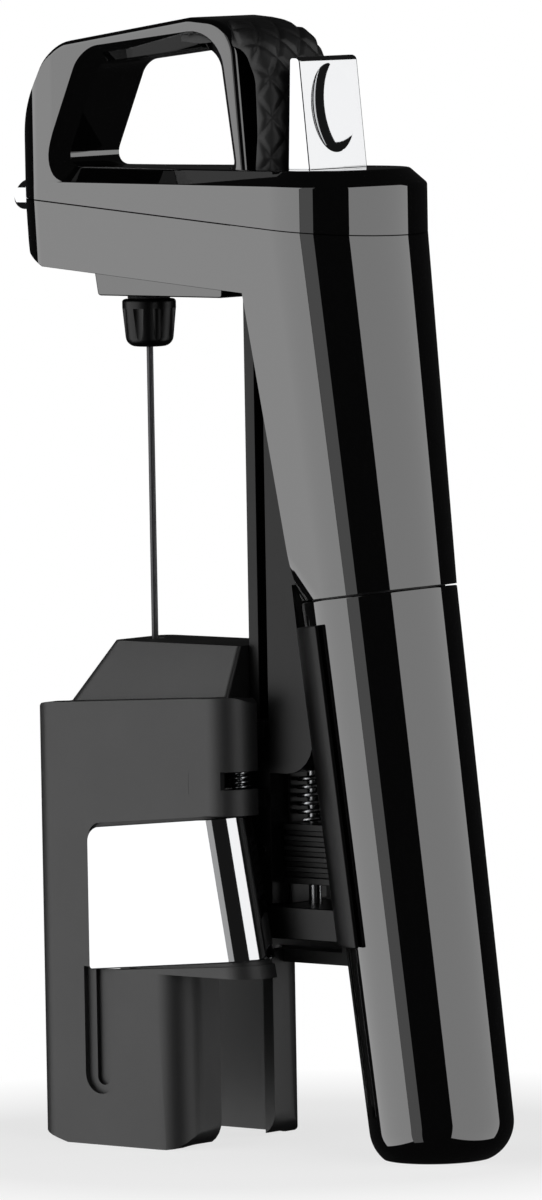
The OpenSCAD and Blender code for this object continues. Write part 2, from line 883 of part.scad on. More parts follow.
module guide_block() {
    ribs = 5;
    color("#151516") difference() {
        slab(block_low, block_high) translate([-6, web_rear + 0.2]) square([12, 16]);
        cup_space();
        rod([0, rail_y + 13, block_low - 1], guide_rod_r, 20);
        for (i = [0 : ribs - 1])
            both_sides() box([5.2, web_rear, block_low + 1.6 + 2.4 * i],
                             [7, web_rear + 20, block_low + 2.8 + 2.4 * i]);
    }
}

// Clamp

// Hood plan with rounded corners: half width, front and rear, and corner radius.
module hood_plan(hw, front, rear, r) {
    polygon(rounded([[-hw, front, r], [hw, front, r], [hw, rear, 1], [-hw, rear, 1]]));
}
module hood_form(inset) {
    hull() {
        slab(hood_top - inset - 0.1, hood_top - inset)
            hood_plan(10 - inset, -5 + inset, hood_rear - inset, 3);
        slab(roof_in + 0.6, roof_in + 0.7)
            hood_plan(hood_hw - inset, hood_front - 0.5 + inset, hood_rear - inset, 5);
    }
    slab(hood_floor + (inset > 0 ? 3 : 0), roof_in + 0.65)
        hood_plan(hood_hw - inset, hood_front + inset, slider_front - inset, 5);
}
module clamp_hood() {
    color("#1c1d1f") difference() {
        union() {
            difference() {
                hood_form(0);
                hood_form(hood_wall);
            }
            rod([0, 0, guide_low], guide_r + 2, guide_high - guide_low + 3);
        }
        rod([0, 0, guide_low - 1], guide_r, guide_high - guide_low + 1);
        rod([0, 0, guide_high - 1], needle_r + 1, 20);
        rod([0, 0, hood_top - 1.5], 2.6, 5);
        base_slab(hood_floor - 1);
    }
}
module base_slab(low) {
    slab(low, hood_floor + 3)
        hood_plan(hood_hw - hood_wall, hood_front + hood_wall, slider_front - hood_wall, 2);
}
module hood_base() {
    color("#1c1d1f") difference() {
        base_slab(hood_floor);
        rod([0, 0, hood_floor - 1], needle_r + 1, 6);
    }
}
module bottle_stop() {
    color("#161616") difference() {
        rod([0, 0, stop_z], 12.5, stop_t);
        rod([0, 0, stop_z - 1], needle_r + 1.5, stop_t + 2);
    }
}
module needle_guide() {
    color("#b9bcc0") difference() {
        rod([0, 0, guide_low], guide_r, guide_high - guide_low - 1);
        rod([0, 0, guide_low - 1], needle_r + run_fit, guide_high - guide_low + 2);
    }
}
// Outline of the slider round the rail's flange, with hooks that reach behind it.
module slider_plan() {
    ch = flange_w / 2 + slide_gap;
    lip = web_w / 2 + slide_gap;
    difference() {
        translate([-slider_hw, slider_front])
            square([2 * slider_hw, slider_rear - slider_front]);
        translate([-ch, rail_y - slide_gap]) square([2 * ch, flange_t + 2 * slide_gap]);
        translate([-lip, rail_y]) square([2 * lip, far / 8]);
    }
}
module hinge_lug(low, high) {
    rod([hinge_x, hinge_y, low], lug_r, high - low);
    box([slider_hw - 0.5, hinge_y - lug_r, low], [hinge_x, hinge_y + lug_r, high]);
}
module carriage_slider() {
    color("#161617") difference() {
        union() {
            slab(slider_low, lug_top) slider_plan();
            both_sides() {
                hinge_lug(lug_low, lug_low + lug_t);
                hinge_lug(lug_top - lug_t, lug_top);
            }
        }
        both_sides() {
            rod([hinge_x, hinge_y, lug_low - 1], hinge_pin_r, lug_top - lug_low + 2);
            detent_hole();
        }
    }
}
detent_z = slider_low + 12.5;
detent_y = rail_y + 5.2;
module detent_hole() {
    translate([flange_w / 2 - 1.5, detent_y, detent_z]) rotate([0, 90, 0])
        cylinder(r = detent_r, h = 10);
}
module detent_pins() {
    color("#d5d8dc") both_sides() translate([flange_w / 2 - 1.5, detent_y, detent_z])
        rotate([0, 90, 0]) cylinder(r = detent_r, h = slider_hw - flange_w / 2 + 2);
}
module hinge_pin() {
    color("#b9bcc0")
        rod([hinge_x, hinge_y, lug_low - 0.5], hinge_pin_r, lug_top - lug_low + 0.8);
}
module left_hinge_pin() {
    mirror([1, 0, 0]) hinge_pin();
}
module right_hinge_pin() {
    hinge_pin();
}
module jaw_spring() {
    wire = 0.45;
    turns = 3.5;
    room = knuckle_low - lug_low - lug_t - 0.4 - 2 * wire;
    color("#b9bcc0") translate([hinge_x, hinge_y, lug_low + lug_t + 0.2 + wire])
        coil(turns, hinge_pin_r + 0.3 + wire, wire, room / turns);
}
module left_jaw_spring() {
    mirror([1, 0, 0]) jaw_spring();
}
module right_jaw_spring() {
    jaw_spring();
}

// Jaws, drawn for the +X side

// Outline of the outer jaw wall back to the given rear, set in by inset.
module jaw_plan(inner_x, rear, inset) {
    polygon(rounded([
        [inner_x, -jaw_front + inset],
        [jaw_hw - inset, -jaw_front + inset, 7 - inset],
        [jaw_hw - inset, rear - inset, 8 - inset],
        [inner_x, rear - inset]
    ]));
}
// The clamp's middle, where the jaws swell back to their squeezed tails.
module jaw_mid(inset) {
    hull() {
        slab(tail_bottom + inset, tail_bottom + inset + 0.1)
            jaw_plan(jaw_gap / 2 - 1, tail_rear_low, inset);
        slab(tail_top - inset - 0.1, tail_top - inset)
            jaw_plan(jaw_gap / 2 - 1, tail_rear_high, inset);
    }
}
module jaw_outer() {
    slab(0, jaw_top + jaw_rise) jaw_plan(jaw_gap / 2, leg_rear, 0);
    slab(tail_top - 2, jaw_top + jaw_rise) jaw_plan(jaw_gap / 2, upper_rear, 0);
}
// The jaw's outline from the side: rounded at the top, lifted at the foot's front.
module jaw_side() {
    side(far / 8) polygon(rounded([
        [-jaw_front - 1, 3],
        [-jaw_front / 2, 0],
        [leg_rear, 0, 6],
        [leg_rear, tail_bottom - 0.1],
        [far / 4, tail_bottom - 0.1],
        [far / 4, jaw_top + 20],
        [upper_rear, jaw_top + 20],
        [upper_rear, jaw_top + jaw_rise, 3],
        [-jaw_front, jaw_top, 5],
        [-jaw_front, jaw_top - 12],
        [-jaw_front - 1, jaw_top - 12]
    ]));
}
module jaw_inner() {
    slab(-1, tail_bottom + jaw_wall + 1) jaw_plan(0, leg_rear, jaw_wall);
    slab(tail_top - jaw_wall - 1, roof_in) jaw_plan(0, leg_rear, jaw_wall);
    slab(tail_top, roof_in) jaw_plan(0, upper_rear, jaw_wall);
    box([-1, -jaw_front + jaw_wall, roof_in - 1],
        [hood_hw + 0.6, upper_rear + 1, jaw_top + jaw_rise + 1]);
}
// The band that the bright plate covers, seen from the side.
module plate_band(grow = 0) {
    side(far / 8) polygon(rounded([
        [-2 - grow, tail_bottom - 0.2 - grow, 1],
        [-2 - grow, tail_top - 4.2 + grow, 3.6],
        [tail_rear_low + 5, tail_top + 0.6 + grow],
        [tail_rear_low + 5, tail_bottom + 3.6 - grow]
    ]));
}
module plate_skin(outer, inner) {
    difference() {
        jaw_mid(-outer);
        jaw_mid(-inner);
        box([-1, -far / 8, -1], [tail_in, far / 4, jaw_top]);
    }
}
module jaw_slot() {
    translate([0, slot_y, 0]) {
        translate([jaw_hw - 1.2, 0, slot_low + 4.7]) rotate([0, 90, 0]) {
            cylinder(r = 4.7, h = 5);
            translate([-far / 16, -4.7, 0]) cube([far / 16, 9.4, 5]);
        }
        translate([jaw_hw - jaw_wall + 0.8, 0, slot_low + 4]) rotate([0, 90, 0]) {
            cylinder(r = 2, h = 9);
            translate([-far / 16, -2, 0]) cube([far / 16, 4, 9]);
        }
    }
}
module jaw_shell() {
    color("#1c1d1f") difference() {
        union() {
            difference() {
                intersection() {
                    union() {
                        jaw_outer();
                        jaw_mid(0);
                    }
                    jaw_side();
                }
                jaw_inner();
                jaw_mid(jaw_wall);
            }
            rod([hinge_x, hinge_y, knuckle_low], lug_r, knuckle_high - knuckle_low);
            box([hinge_x, hinge_y - lug_r, knuckle_low],
                [jaw_hw - jaw_wall + 0.5, hinge_y + 1, knuckle_high]);
        }
        rod([hinge_x, hinge_y, knuckle_low - 1], hinge_pin_r + run_fit, far / 8);
        box([-1, leg_rear - jaw_wall - 2, tail_bottom + jaw_wall], [tail_in, far / 4, tail_top]);
        box([-1, leg_rear, tail_bottom - 1], [tail_in, far / 4, tail_top + 0.1]);
        difference() {
            box([-1, leg_rear, tail_top - 0.1], [upper_in, far / 4, jaw_top + 20]);
            knuckle_room();
        }
        box([jaw_hw - 6, upper_rear - 9, tail_top + 4],
            [jaw_hw + 2, upper_rear + 1, tail_top + 9]);
        slab(-1, tail_bottom + 0.1) polygon([
            [-1, leg_rear - 6], [leg_edge_x, leg_rear - 6], [leg_edge_x, far], [-1, far]
        ]);
        intersection() {
            jaw_slot();
            slab(0, tail_bottom + 2) translate([0, -far / 4]) square(far / 2);
        }
        intersection() {
            plate_band();
            plate_skin(plate_proud + 2, plate_proud - plate_t);
        }
        for (z = jaw_screw_z) jaw_screw_hole(z);
    }
}
module knuckle_room() {
    slab(knuckle_low, knuckle_high) translate([hinge_x, hinge_y - lug_r])
        square([far / 8, lug_r + 1]);
    rod([hinge_x, hinge_y, knuckle_low], lug_r, knuckle_high - knuckle_low);
}
jaw_screw_z = [52, 70];
jaw_screw_y = 14;
module jaw_screw_hole(z) {
    translate([jaw_hw - jaw_wall - 2, jaw_screw_y, z]) rotate([0, 90, 0])
        cylinder(r = screw_r, h = jaw_wall + 2 + plate_proud - 0.8);
}
module plate_screw_pair() {
    shank = jaw_wall + plate_proud - 0.8;
    color("#8d9094") for (z = jaw_screw_z)
        translate([jaw_hw - jaw_wall, jaw_screw_y, z]) rotate([0, 90, 0]) {
            translate([0, 0, -1.3]) cylinder(r = 2 * screw_r, h = 1.3);
            cylinder(r = screw_r, h = shank);
        }
}
module jaw_plate() {
    color("#dfe2e6") difference() {
        intersection() {
            plate_band();
            plate_skin(plate_proud, plate_proud - plate_t);
        }
        for (z = jaw_screw_z) jaw_screw_hole(z);
        slab(-1, tail_bottom + jaw_wall) jaw_plan(0, leg_rear, jaw_wall);
    }
}
module neck_pad() {
    color("#161616") difference() {
        box([10, -pad_hw, neck_low], [jaw_hw - jaw_wall, pad_hw, neck_high]);
        rod([0, 0, neck_low - 1], neck_r, neck_high - neck_low + 2);
    }
}
module right_jaw_shell() {
    jaw_shell();
}
module right_jaw_plate() {
    jaw_plate();
}
module right_neck_pad() {
    neck_pad();
}
module right_plate_screws() {
    plate_screw_pair();
}
module left_jaw_shell() {
    mirror([1, 0, 0]) jaw_shell();
}
module left_jaw_plate() {
    mirror([1, 0, 0]) jaw_plate();
}
module left_neck_pad() {
    mirror([1, 0, 0]) neck_pad();
}
module left_plate_screws() {
    mirror([1, 0, 0]) plate_screw_pair();
}

placed() head_upper_shell();
placed() handle_frame();
placed() handle_grip();
placed() head_lower_shell();
placed() head_screws();
placed() spout();
placed() spout_tube();
placed() needle_plate();
placed() plate_screws();
placed() needle_socket();
placed() trigger_pin();
placed() trigger_spring();
placed() valve_body();
placed() valve_spring();
placed() piercing_pin();
placed() capsule_seal();
placed() threaded_collar();
placed() gas_tube();
placed() spine_rail();
placed() rail_housing();
placed() rail_foot();
placed() foot_screw();
placed() cup_guard();
placed() guide_rod();
placed() guide_spring();
placed() guide_block();
placed() needle_washer();
placed() needle_hub();
placed() needle();
placed() trigger();
placed() valve_stem();
placed() gas_capsule();
placed() capsule_cup();
placed() cup_cushion();
placed() clamp_hood();
placed() hood_base();
placed() bottle_stop();
placed() needle_guide();
placed() carriage_slider();
placed() detent_pins();
placed() left_hinge_pin();
placed() right_hinge_pin();
placed() left_jaw_spring();
placed() right_jaw_spring();
placed() left_jaw_shell();
placed() left_jaw_plate();
placed() left_neck_pad();
placed() left_plate_screws();
placed() right_jaw_shell();
placed() right_jaw_plate();
placed() right_neck_pad();
placed() right_plate_screws();
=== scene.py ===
import math

import bmesh
import bpy
from bpy.props import FloatProperty, FloatVectorProperty, IntProperty, PointerProperty
from bpy.types import Operator, Panel, PropertyGroup
from mathutils import Matrix, Vector


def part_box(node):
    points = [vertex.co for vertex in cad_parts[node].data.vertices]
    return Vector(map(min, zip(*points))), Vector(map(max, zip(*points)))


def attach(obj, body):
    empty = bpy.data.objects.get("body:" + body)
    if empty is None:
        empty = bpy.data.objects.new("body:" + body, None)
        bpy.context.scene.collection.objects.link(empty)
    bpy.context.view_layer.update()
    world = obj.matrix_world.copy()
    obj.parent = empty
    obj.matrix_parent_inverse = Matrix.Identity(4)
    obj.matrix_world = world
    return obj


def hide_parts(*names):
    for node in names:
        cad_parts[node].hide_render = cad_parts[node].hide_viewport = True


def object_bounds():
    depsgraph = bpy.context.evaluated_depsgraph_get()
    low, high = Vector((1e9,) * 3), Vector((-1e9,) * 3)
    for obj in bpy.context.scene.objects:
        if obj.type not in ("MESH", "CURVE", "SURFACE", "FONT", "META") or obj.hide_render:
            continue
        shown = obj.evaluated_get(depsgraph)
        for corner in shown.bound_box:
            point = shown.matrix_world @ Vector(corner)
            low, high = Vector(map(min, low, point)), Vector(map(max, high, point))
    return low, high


bl_info = {
    "name": "Needle wine pourer",
    "version": (1, 0, 0),
    "blender": (4, 5, 0),
    "location": "View3D > Sidebar > Pourer",
    "description": "Builds the looks of a needle wine pourer round its packed frame",
    "category": "Object",
}

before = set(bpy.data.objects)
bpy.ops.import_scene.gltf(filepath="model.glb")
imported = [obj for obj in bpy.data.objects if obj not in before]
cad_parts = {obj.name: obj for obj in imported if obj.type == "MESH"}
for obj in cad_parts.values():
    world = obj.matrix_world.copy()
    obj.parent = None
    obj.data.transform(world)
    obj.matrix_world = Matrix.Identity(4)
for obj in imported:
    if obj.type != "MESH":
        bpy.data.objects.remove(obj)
CAD_BOX = [list(corner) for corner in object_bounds()]

# Shapes are drawn in millimetres from the needle's axis: X across, -Y to the spout, Z up.
MM = 0.001
needle_low, needle_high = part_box("needle")
NEEDLE_Y = (needle_low.y + needle_high.y) / 2
PLACE = Matrix.Translation((0, NEEDLE_Y, 0)) @ Matrix.Scale(MM, 4)


def span(node):
    """Lowest and highest corner of a CAD node, in millimetres from the needle's axis."""
    to_drawing = PLACE.inverted()
    return tuple(to_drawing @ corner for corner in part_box(node))


HEAD_TOP = span("head_upper_shell")[1].z
HEAD_FRONT = span("head_upper_shell")[0].y
HEAD_REAR = span("head_upper_shell")[1].y
PLATE_LOW = span("needle_plate")[0].z
RAIL_FRONT = span("spine_rail")[0].y
JAW_SIDE = span("right_jaw_shell")[1].x
HANDLE_TOP = span("handle_frame")[1].z
TRIGGER_TOP = span("trigger")[1].z


# ---------------------------------------------------------------- settings

def length(name, description, default):
    """A size in metres, drawn in the sidebar with its unit."""
    return FloatProperty(name=name, description=description, default=default, unit="LENGTH")


def angle(name, description, degrees):
    return FloatProperty(name=name, description=description,
                         default=math.radians(degrees), unit="ROTATION")


def colour(name, description, value):
    return FloatVectorProperty(name=name, description=description, default=value,
                               size=3, min=0, max=1, subtype="COLOR")


class HeadSizes(PropertyGroup):
    front_radius: length("Front radius", "Round front of the head, from above", 0.012)
    rear_radius: length("Rear radius", "Round rear of the head, from above", 0.021)
    chamfer: length("Chamfer", "Width of the chamfer round the top", 0.004)
    chamfer_drop: length("Chamfer drop", "Height of the chamfer round the top", 0.0036)
    seam_drop: length("Seam drop", "Seam below the top, at the front", 0.0072)
    height: length("Height", "Top to underside, at the front", 0.0226)
    slope: angle("Slope", "Slope of the seam and of the underside", 4.1)
    seam_lip: length("Seam lip", "Rounding on both sides of the seam", 0.0002)
    wall: length("Wall", "Thickness of the sleeve", 0.0022)


class HandleSizes(PropertyGroup):
    half_width: length("Half width", "Half width of the loop", 0.0125)
    opening_chamfer: length("Opening chamfer", "Width of the ring round the opening", 0.0038)
    outer_round: length("Outer round", "Rounding of the loop's outer rims", 0.0034)
    quilt_width: length("Quilt width", "Width of one quilted diamond", 0.0075)
    quilt_height: length("Quilt height", "Height of one quilted diamond", 0.0095)
    quilt_depth: length("Quilt depth", "Depth of the lines between the diamonds", 0.00055)


class TriggerSizes(PropertyGroup):
    half_width: length("Half width", "Half width of the paddle", 0.0105)
    edge: length("Edge", "Rounding of the paddle's edges", 0.0005)
    scoop_width: length("Scoop width", "Width of the thumb scoop", 0.0155)
    scoop_height: length("Scoop height", "Height of the thumb scoop", 0.0205)
    scoop_depth: length("Scoop depth", "Depth of the thumb scoop", 0.0022)


class CupSizes(PropertyGroup):
    tilt: angle("Tilt", "Tilt of the cup's axis", 7.5)
    seam: length("Seam height", "Height of the seam over the floor", 0.130)
    mouth_radius: length("Mouth radius", "Radius at the seam", 0.0181)
    foot_radius: length("Foot radius", "Radius at the foot", 0.0166)
    foot_round: length("Foot rounding", "Rounding of the foot's front", 0.0095)
    seam_gap: length("Seam gap", "Gap between the sleeve and the cup", 0.0004)
    steps: IntProperty(name="Steps", description="Faces round the cup", default=144)


class ClampSizes(PropertyGroup):
    edge: length("Edge", "Rounding of the moulded edges", 0.0005)
    plate_thickness: length("Plate thickness", "Bright plate, with its turned edge", 0.0015)
    plate_proud: length("Plate proud", "How far the plates stand out of the jaws", 0.0006)


class Finishes(PropertyGroup):
    gloss: colour("Gloss black", "Polished head, handle and cup", (0.0010, 0.0010, 0.0011))
    satin: colour("Satin black", "Rail, slider and foot", (0.0022, 0.0022, 0.0023))
    soft: colour("Soft black", "Soft-touch hood and jaws", (0.0080, 0.0080, 0.0083))
    rubber: colour("Rubber", "Quilted grip", (0.0060, 0.0060, 0.0062))
    pad: colour("Pad", "Neck pads and bottle stop", (0.02, 0.02, 0.021))
    chrome: colour("Chrome", "Trigger, spout and jaw plates", (0.50, 0.503, 0.51))
    steel: colour("Steel", "Springs, pins and screws", (0.34, 0.345, 0.355))
    coating: colour("Needle coating", "Dark coated needle", (0.05, 0.05, 0.053))
    capsule: colour("Capsule", "Zinc-plated gas capsule", (0.6, 0.61, 0.63))
    alloy: colour("Valve alloy", "Turned valve parts", (0.62, 0.55, 0.42))
    inner: colour("Inner plastic", "Moulded parts inside", (0.03, 0.03, 0.032))


class StageSettings(PropertyGroup):
    distance: length("Distance", "From the camera to the middle of the object", 2.6)
    azimuth: angle("Azimuth", "Where the camera stands round the object", 130)
    elevation: angle("Elevation", "How far the camera looks down", 4.2)
    roll: angle("Roll", "Turn of the camera about its own line of sight", 1.0)
    lens: FloatProperty(name="Lens", description="Focal length in millimetres",
                        default=336.2, subtype="NONE")
    floor: colour("Floor", "Pale floor and backdrop", (0.86, 0.86, 0.86))


GROUPS = {
    "head": HeadSizes, "handle": HandleSizes, "trigger": TriggerSizes, "cup": CupSizes,
    "clamp": ClampSizes, "finishes": Finishes, "stage": StageSettings,
}


class PourerSettings(PropertyGroup):
    """All the sizes and colours that the pieces are built from."""


for group_name, group_class in GROUPS.items():
    PourerSettings.__annotations__[group_name] = PointerProperty(type=group_class)


def settings(group):
    return getattr(bpy.context.scene.pourer, group)


def size(group, name):
    """A size from the settings, in millimetres."""
    return getattr(settings(group), name) / MM


# ---------------------------------------------------------------- outlines and solids

def outline(corners, segments=10):
    """Rounds the corners (u, v, radius) of a flat outline and gives its points in order."""
    bm = bmesh.new()
    verts = [bm.verts.new((c[0], c[1], 0)) for c in corners]
    bm.faces.new(verts)
    count = len(corners)
    for i, corner in enumerate(corners):
        radius = corner[2] if len(corner) > 2 else 0
        if not radius:
            continue
        here = Vector(corner[:2])
        before = (Vector(corners[i - 1][:2]) - here).normalized()
        after = (Vector(corners[(i + 1) % count][:2]) - here).normalized()
        half = before.angle(after) / 2
        bmesh.ops.bevel(bm, geom=[verts[i]], offset=radius / math.tan(half),
                        offset_type="OFFSET", segments=segments, profile=0.5,
                        affect="VERTICES", material=-1)
    bmesh.ops.remove_doubles(bm, verts=bm.verts, dist=0.004)
    bm.faces.ensure_lookup_table()
    points = [v.co.xy.copy() for v in bm.faces[0].verts]
    bm.free()
    return points


def grown(corners, step):
    """Moves every side of an outline out by a step, and keeps its corner list."""
    sides = []
    area = sum(a[0] * b[1] - b[0] * a[1] for a, b in zip(corners, corners[1:] + corners[:1]))
    turn = 1 if area > 0 else -1
    count = len(corners)
    for i in range(count):
        a, b = Vector(corners[i][:2]), Vector(corners[(i + 1) % count][:2])
        along = (b - a).normalized()
        out = Vector((along.y, -along.x)) * turn
        sides.append((a + out * step, along))
    moved = []
    for i, corner in enumerate(corners):
        (p, d), (q, e) = sides[i - 1], sides[i]
        cross = d.x * e.y - d.y * e.x
        share = ((q - p).x * e.y - (q - p).y * e.x) / cross
        radius = corner[2] if len(corner) > 2 else 0
        moved.append((*(p + d * share), max(radius + step, 0) if radius else 0))
    return moved


def across(point, x):
    """A point of a side outline (Y, Z) at the given X."""
    return Vector((x, point[0], point[1]))


def upright(point, z):
    """A point of a plan outline (X, Y) at the given height."""
    return Vector((point[0], point[1], z))


def add_loop(bm, points):
    """Adds a closed loop of edges and gives the edges."""
    verts = [bm.verts.new(p) for p in points]
    return [bm.edges.new((a, b)) for a, b in zip(verts, verts[1:] + verts[:1])]


def loft(rings, bm=None):
    """A closed solid through rings of points, which all have the same count."""
    bm = bm or bmesh.new()
    loops = [add_loop(bm, ring) for ring in rings]
    for low, high in zip(loops, loops[1:]):
        bmesh.ops.bridge_loops(bm, edges=low + high)
    for loop in (loops[0], loops[-1]):
        bmesh.ops.edgeloop_fill(bm, edges=loop)
    bmesh.ops.recalc_face_normals(bm, faces=bm.faces)
    return bm


def side_solid(corners, low_x, high_x, segments=10):
    points = outline(corners, segments)
    return loft([[across(p, x) for p in points] for x in (low_x, high_x)])


def plan_solid(corners, low_z, high_z, segments=10):
    points = outline(corners, segments)
    return loft([[upright(p, z) for p in points] for z in (low_z, high_z)])


def box_solid(low, high):
    bm = bmesh.new()
    bmesh.ops.create_cube(bm, size=1)
    low, high = Vector(low), Vector(high)
    bmesh.ops.scale(bm, vec=high - low, verts=bm.verts)
    bmesh.ops.translate(bm, vec=(low + high) / 2, verts=bm.verts)
    return bm


def rod_solid(start, end, radius, end_radius=None, steps=48):
    bm = bmesh.new()
    start, end = Vector(start), Vector(end)
    bmesh.ops.create_cone(bm, cap_ends=True, segments=steps, radius1=radius,
                          radius2=radius if end_radius is None else end_radius,
                          depth=(end - start).length)
    turn = Vector((0, 0, 1)).rotation_difference(end - start).to_matrix()
    bmesh.ops.rotate(bm, cent=(0, 0, 0), matrix=turn, verts=bm.verts)
    bmesh.ops.translate(bm, vec=(start + end) / 2, verts=bm.verts)
    return bm


def turned(corners, steps=96, segments=6):
    """A solid turned about Z from an outline of (radius, height, rounding) corners."""
    bm = bmesh.new()
    points = outline(corners, segments)
    verts = [bm.verts.new((p[0], 0, p[1])) for p in points]
    edges = []
    for a, b in zip(verts, verts[1:] + verts[:1]):
        if a.co.x > 1e-4 or b.co.x > 1e-4:
            edges.append(bm.edges.new((a, b)))
    bmesh.ops.spin(bm, geom=verts + edges, cent=(0, 0, 0), axis=(0, 0, 1), dvec=(0, 0, 0),
                   angle=math.tau, steps=steps, use_merge=True, use_duplicate=False)
    bmesh.ops.remove_doubles(bm, verts=bm.verts, dist=1e-4)
    bmesh.ops.recalc_face_normals(bm, faces=bm.faces)
    return bm


def cut_off(bm, point, normal, fill=True):
    """Keeps what lies on the side that the normal points to. Gives the new rim's edges."""
    geom = bm.verts[:] + bm.edges[:] + bm.faces[:]
    made = bmesh.ops.bisect_plane(bm, geom=geom, dist=1e-4, plane_co=point,
                                  plane_no=normal, clear_inner=True)
    rim = [e for e in made["geom_cut"] if isinstance(e, bmesh.types.BMEdge)]
    if fill:
        bmesh.ops.holes_fill(bm, edges=rim, sides=0)
        bmesh.ops.recalc_face_normals(bm, faces=bm.faces)
    return [e for e in rim if e.is_valid]


def soften(bm, edges, width, segments=3):
    """Rounds the given edges."""
    edges = [e for e in edges if e.is_valid and len(e.link_faces) == 2]
    bmesh.ops.bevel(bm, geom=edges, offset=width, offset_type="OFFSET", segments=segments,
                    profile=0.5, affect="EDGES", material=-1, clamp_overlap=True,
                    miter_outer="ARC")


def sharp_edges(bm, degrees=30, test=None):
    limit = math.radians(degrees)
    return [e for e in bm.edges if len(e.link_faces) == 2
            and e.calc_face_angle(0) > limit and (test is None or test(e))]


def transformed(bm, matrix):
    bmesh.ops.transform(bm, matrix=matrix, verts=bm.verts)
    return bm


def joined(*solids):
    """Puts several solids into the first one's mesh."""
    first = solids[0]
    for other in solids[1:]:
        mesh = bpy.data.meshes.new("joined")
        other.to_mesh(mesh)
        other.free()
        first.from_mesh(mesh)
        bpy.data.meshes.remove(mesh)
    return first


def to_object(name, bm):
    mesh = bpy.data.meshes.new(name)
    bm.to_mesh(mesh)
    bm.free()
    obj = bpy.data.objects.new(name, mesh)
    bpy.context.scene.collection.objects.link(obj)
    return obj


def combine(bm, other, operation):
    """One solid cut by, joined to or limited by another. The other is used up."""
    body, tool = to_object("body", bm), to_object("tool", other)
    step = body.modifiers.new("combine", "BOOLEAN")
    step.operation, step.solver, step.object = operation, "EXACT", tool
    mesh = bpy.data.meshes.new_from_object(
        body.evaluated_get(bpy.context.evaluated_depsgraph_get()))
    result = bmesh.new()
    result.from_mesh(mesh)
    for obj in (body, tool):
        old = obj.data
        bpy.data.objects.remove(obj)
        bpy.data.meshes.remove(old)
    bpy.data.meshes.remove(mesh)
    if not result.faces:
        raise RuntimeError("combining two solids left nothing")
    bmesh.ops.remove_doubles(result, verts=result.verts, dist=2e-4)
    return result


def minus(bm, *others):
    for other in others:
        bm = combine(bm, other, "DIFFERENCE")
    return bm


def plus(bm, *others):
    for other in others:
        bm = combine(bm, other, "UNION")
    return bm


def within(bm, other):
    return combine(bm, other, "INTERSECT")


def mirrored(bm):
    bmesh.ops.transform(bm, matrix=Matrix.Diagonal((-1, 1, 1, 1)), verts=bm.verts)
    bmesh.ops.reverse_faces(bm, faces=bm.faces)
    return bm


def cad_copy(node):
    """A copy of a CAD node's mesh in drawing millimetres, its loose triangles merged."""
    bm = bmesh.new()
    bm.from_mesh(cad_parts[node].data)
    bm.transform(PLACE.inverted())
    bmesh.ops.remove_doubles(bm, verts=bm.verts, dist=1e-3)
    bmesh.ops.dissolve_limit(bm, angle_limit=math.radians(0.5), verts=bm.verts,
                             edges=bm.edges)
    for layer in list(bm.loops.layers.uv):
        bm.loops.layers.uv.remove(layer)
    return bm


def piece(name, bm, body, slot, nodes=(), edge=0.0, smooth=35, flat_shading=True):
    """Makes the finished piece: merged, shaded, edges rounded, in place on its body."""
    bmesh.ops.remove_doubles(bm, verts=bm.verts, dist=2e-4)
    bm.transform(PLACE)
    limit = math.radians(smooth)
    for face in bm.faces:
        face.smooth = True
        face.material_index = 0
    for rim in bm.edges:
        rim.smooth = len(rim.link_faces) == 2 and rim.calc_face_angle(0) < limit
    obj = to_object(name, bm)
    obj.data.materials.clear()
    obj.data.materials.append(material(slot))
    if edge:
        bevel = obj.modifiers.new("edges", "BEVEL")
        bevel.width, bevel.segments, bevel.limit_method = edge * MM, 2, "ANGLE"
        bevel.angle_limit = math.radians(max(smooth - 3, 20))
        bevel.miter_outer, bevel.use_clamp_overlap = "MITER_ARC", True
    if flat_shading:
        normals = obj.modifiers.new("flats", "WEIGHTED_NORMAL")
        normals.keep_sharp, normals.weight = True, 60
    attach(obj, body)
    if nodes:
        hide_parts(*nodes)
    return obj


# ---------------------------------------------------------------- finishes

def new_group(name, inputs, output, kind="NodeSocketFloat"):
    """A shader group with named inputs and one output."""
    tree = bpy.data.node_groups.new(name, "ShaderNodeTree")
    for label, default in inputs.items():
        socket = tree.interface.new_socket(name=label, in_out="INPUT",
                                           socket_type="NodeSocketFloat")
        socket.default_value = default
    tree.interface.new_socket(name=output, in_out="OUTPUT", socket_type=kind)
    source, sink = tree.nodes.new("NodeGroupInput"), tree.nodes.new("NodeGroupOutput")
    return tree, source, sink


def node(tree, kind, **values):
    made = tree.nodes.new(kind)
    for key, value in values.items():
        if key in made.inputs:
            made.inputs[key].default_value = value
        else:
            setattr(made, key, value)
    return made


def math_node(tree, operation, a, b=None, clamp=False):
    made = tree.nodes.new("ShaderNodeMath")
    made.operation, made.use_clamp = operation, clamp
    for index, value in enumerate((a, b)):
        if value is None:
            continue
        if isinstance(value, (int, float)):
            made.inputs[index].default_value = value
        else:
            tree.links.new(value, made.inputs[index])
    return made.outputs[0]


def object_noise(tree, scale, detail=3.0, roughness=0.5, stretch=None):
    """Noise on Object coordinates, with its scale from a socket or a number."""
    place = node(tree, "ShaderNodeTexCoord").outputs["Object"]
    if stretch:
        mapping = node(tree, "ShaderNodeMapping")
        mapping.inputs["Scale"].default_value = stretch
        tree.links.new(place, mapping.inputs["Vector"])
        place = mapping.outputs[0]
    noise = node(tree, "ShaderNodeTexNoise", Detail=detail, Roughness=roughness)
    tree.links.new(place, noise.inputs["Vector"])
    if isinstance(scale, (int, float)):
        noise.inputs["Scale"].default_value = scale
    else:
        tree.links.new(scale, noise.inputs["Scale"])
    return noise.outputs["Fac"]


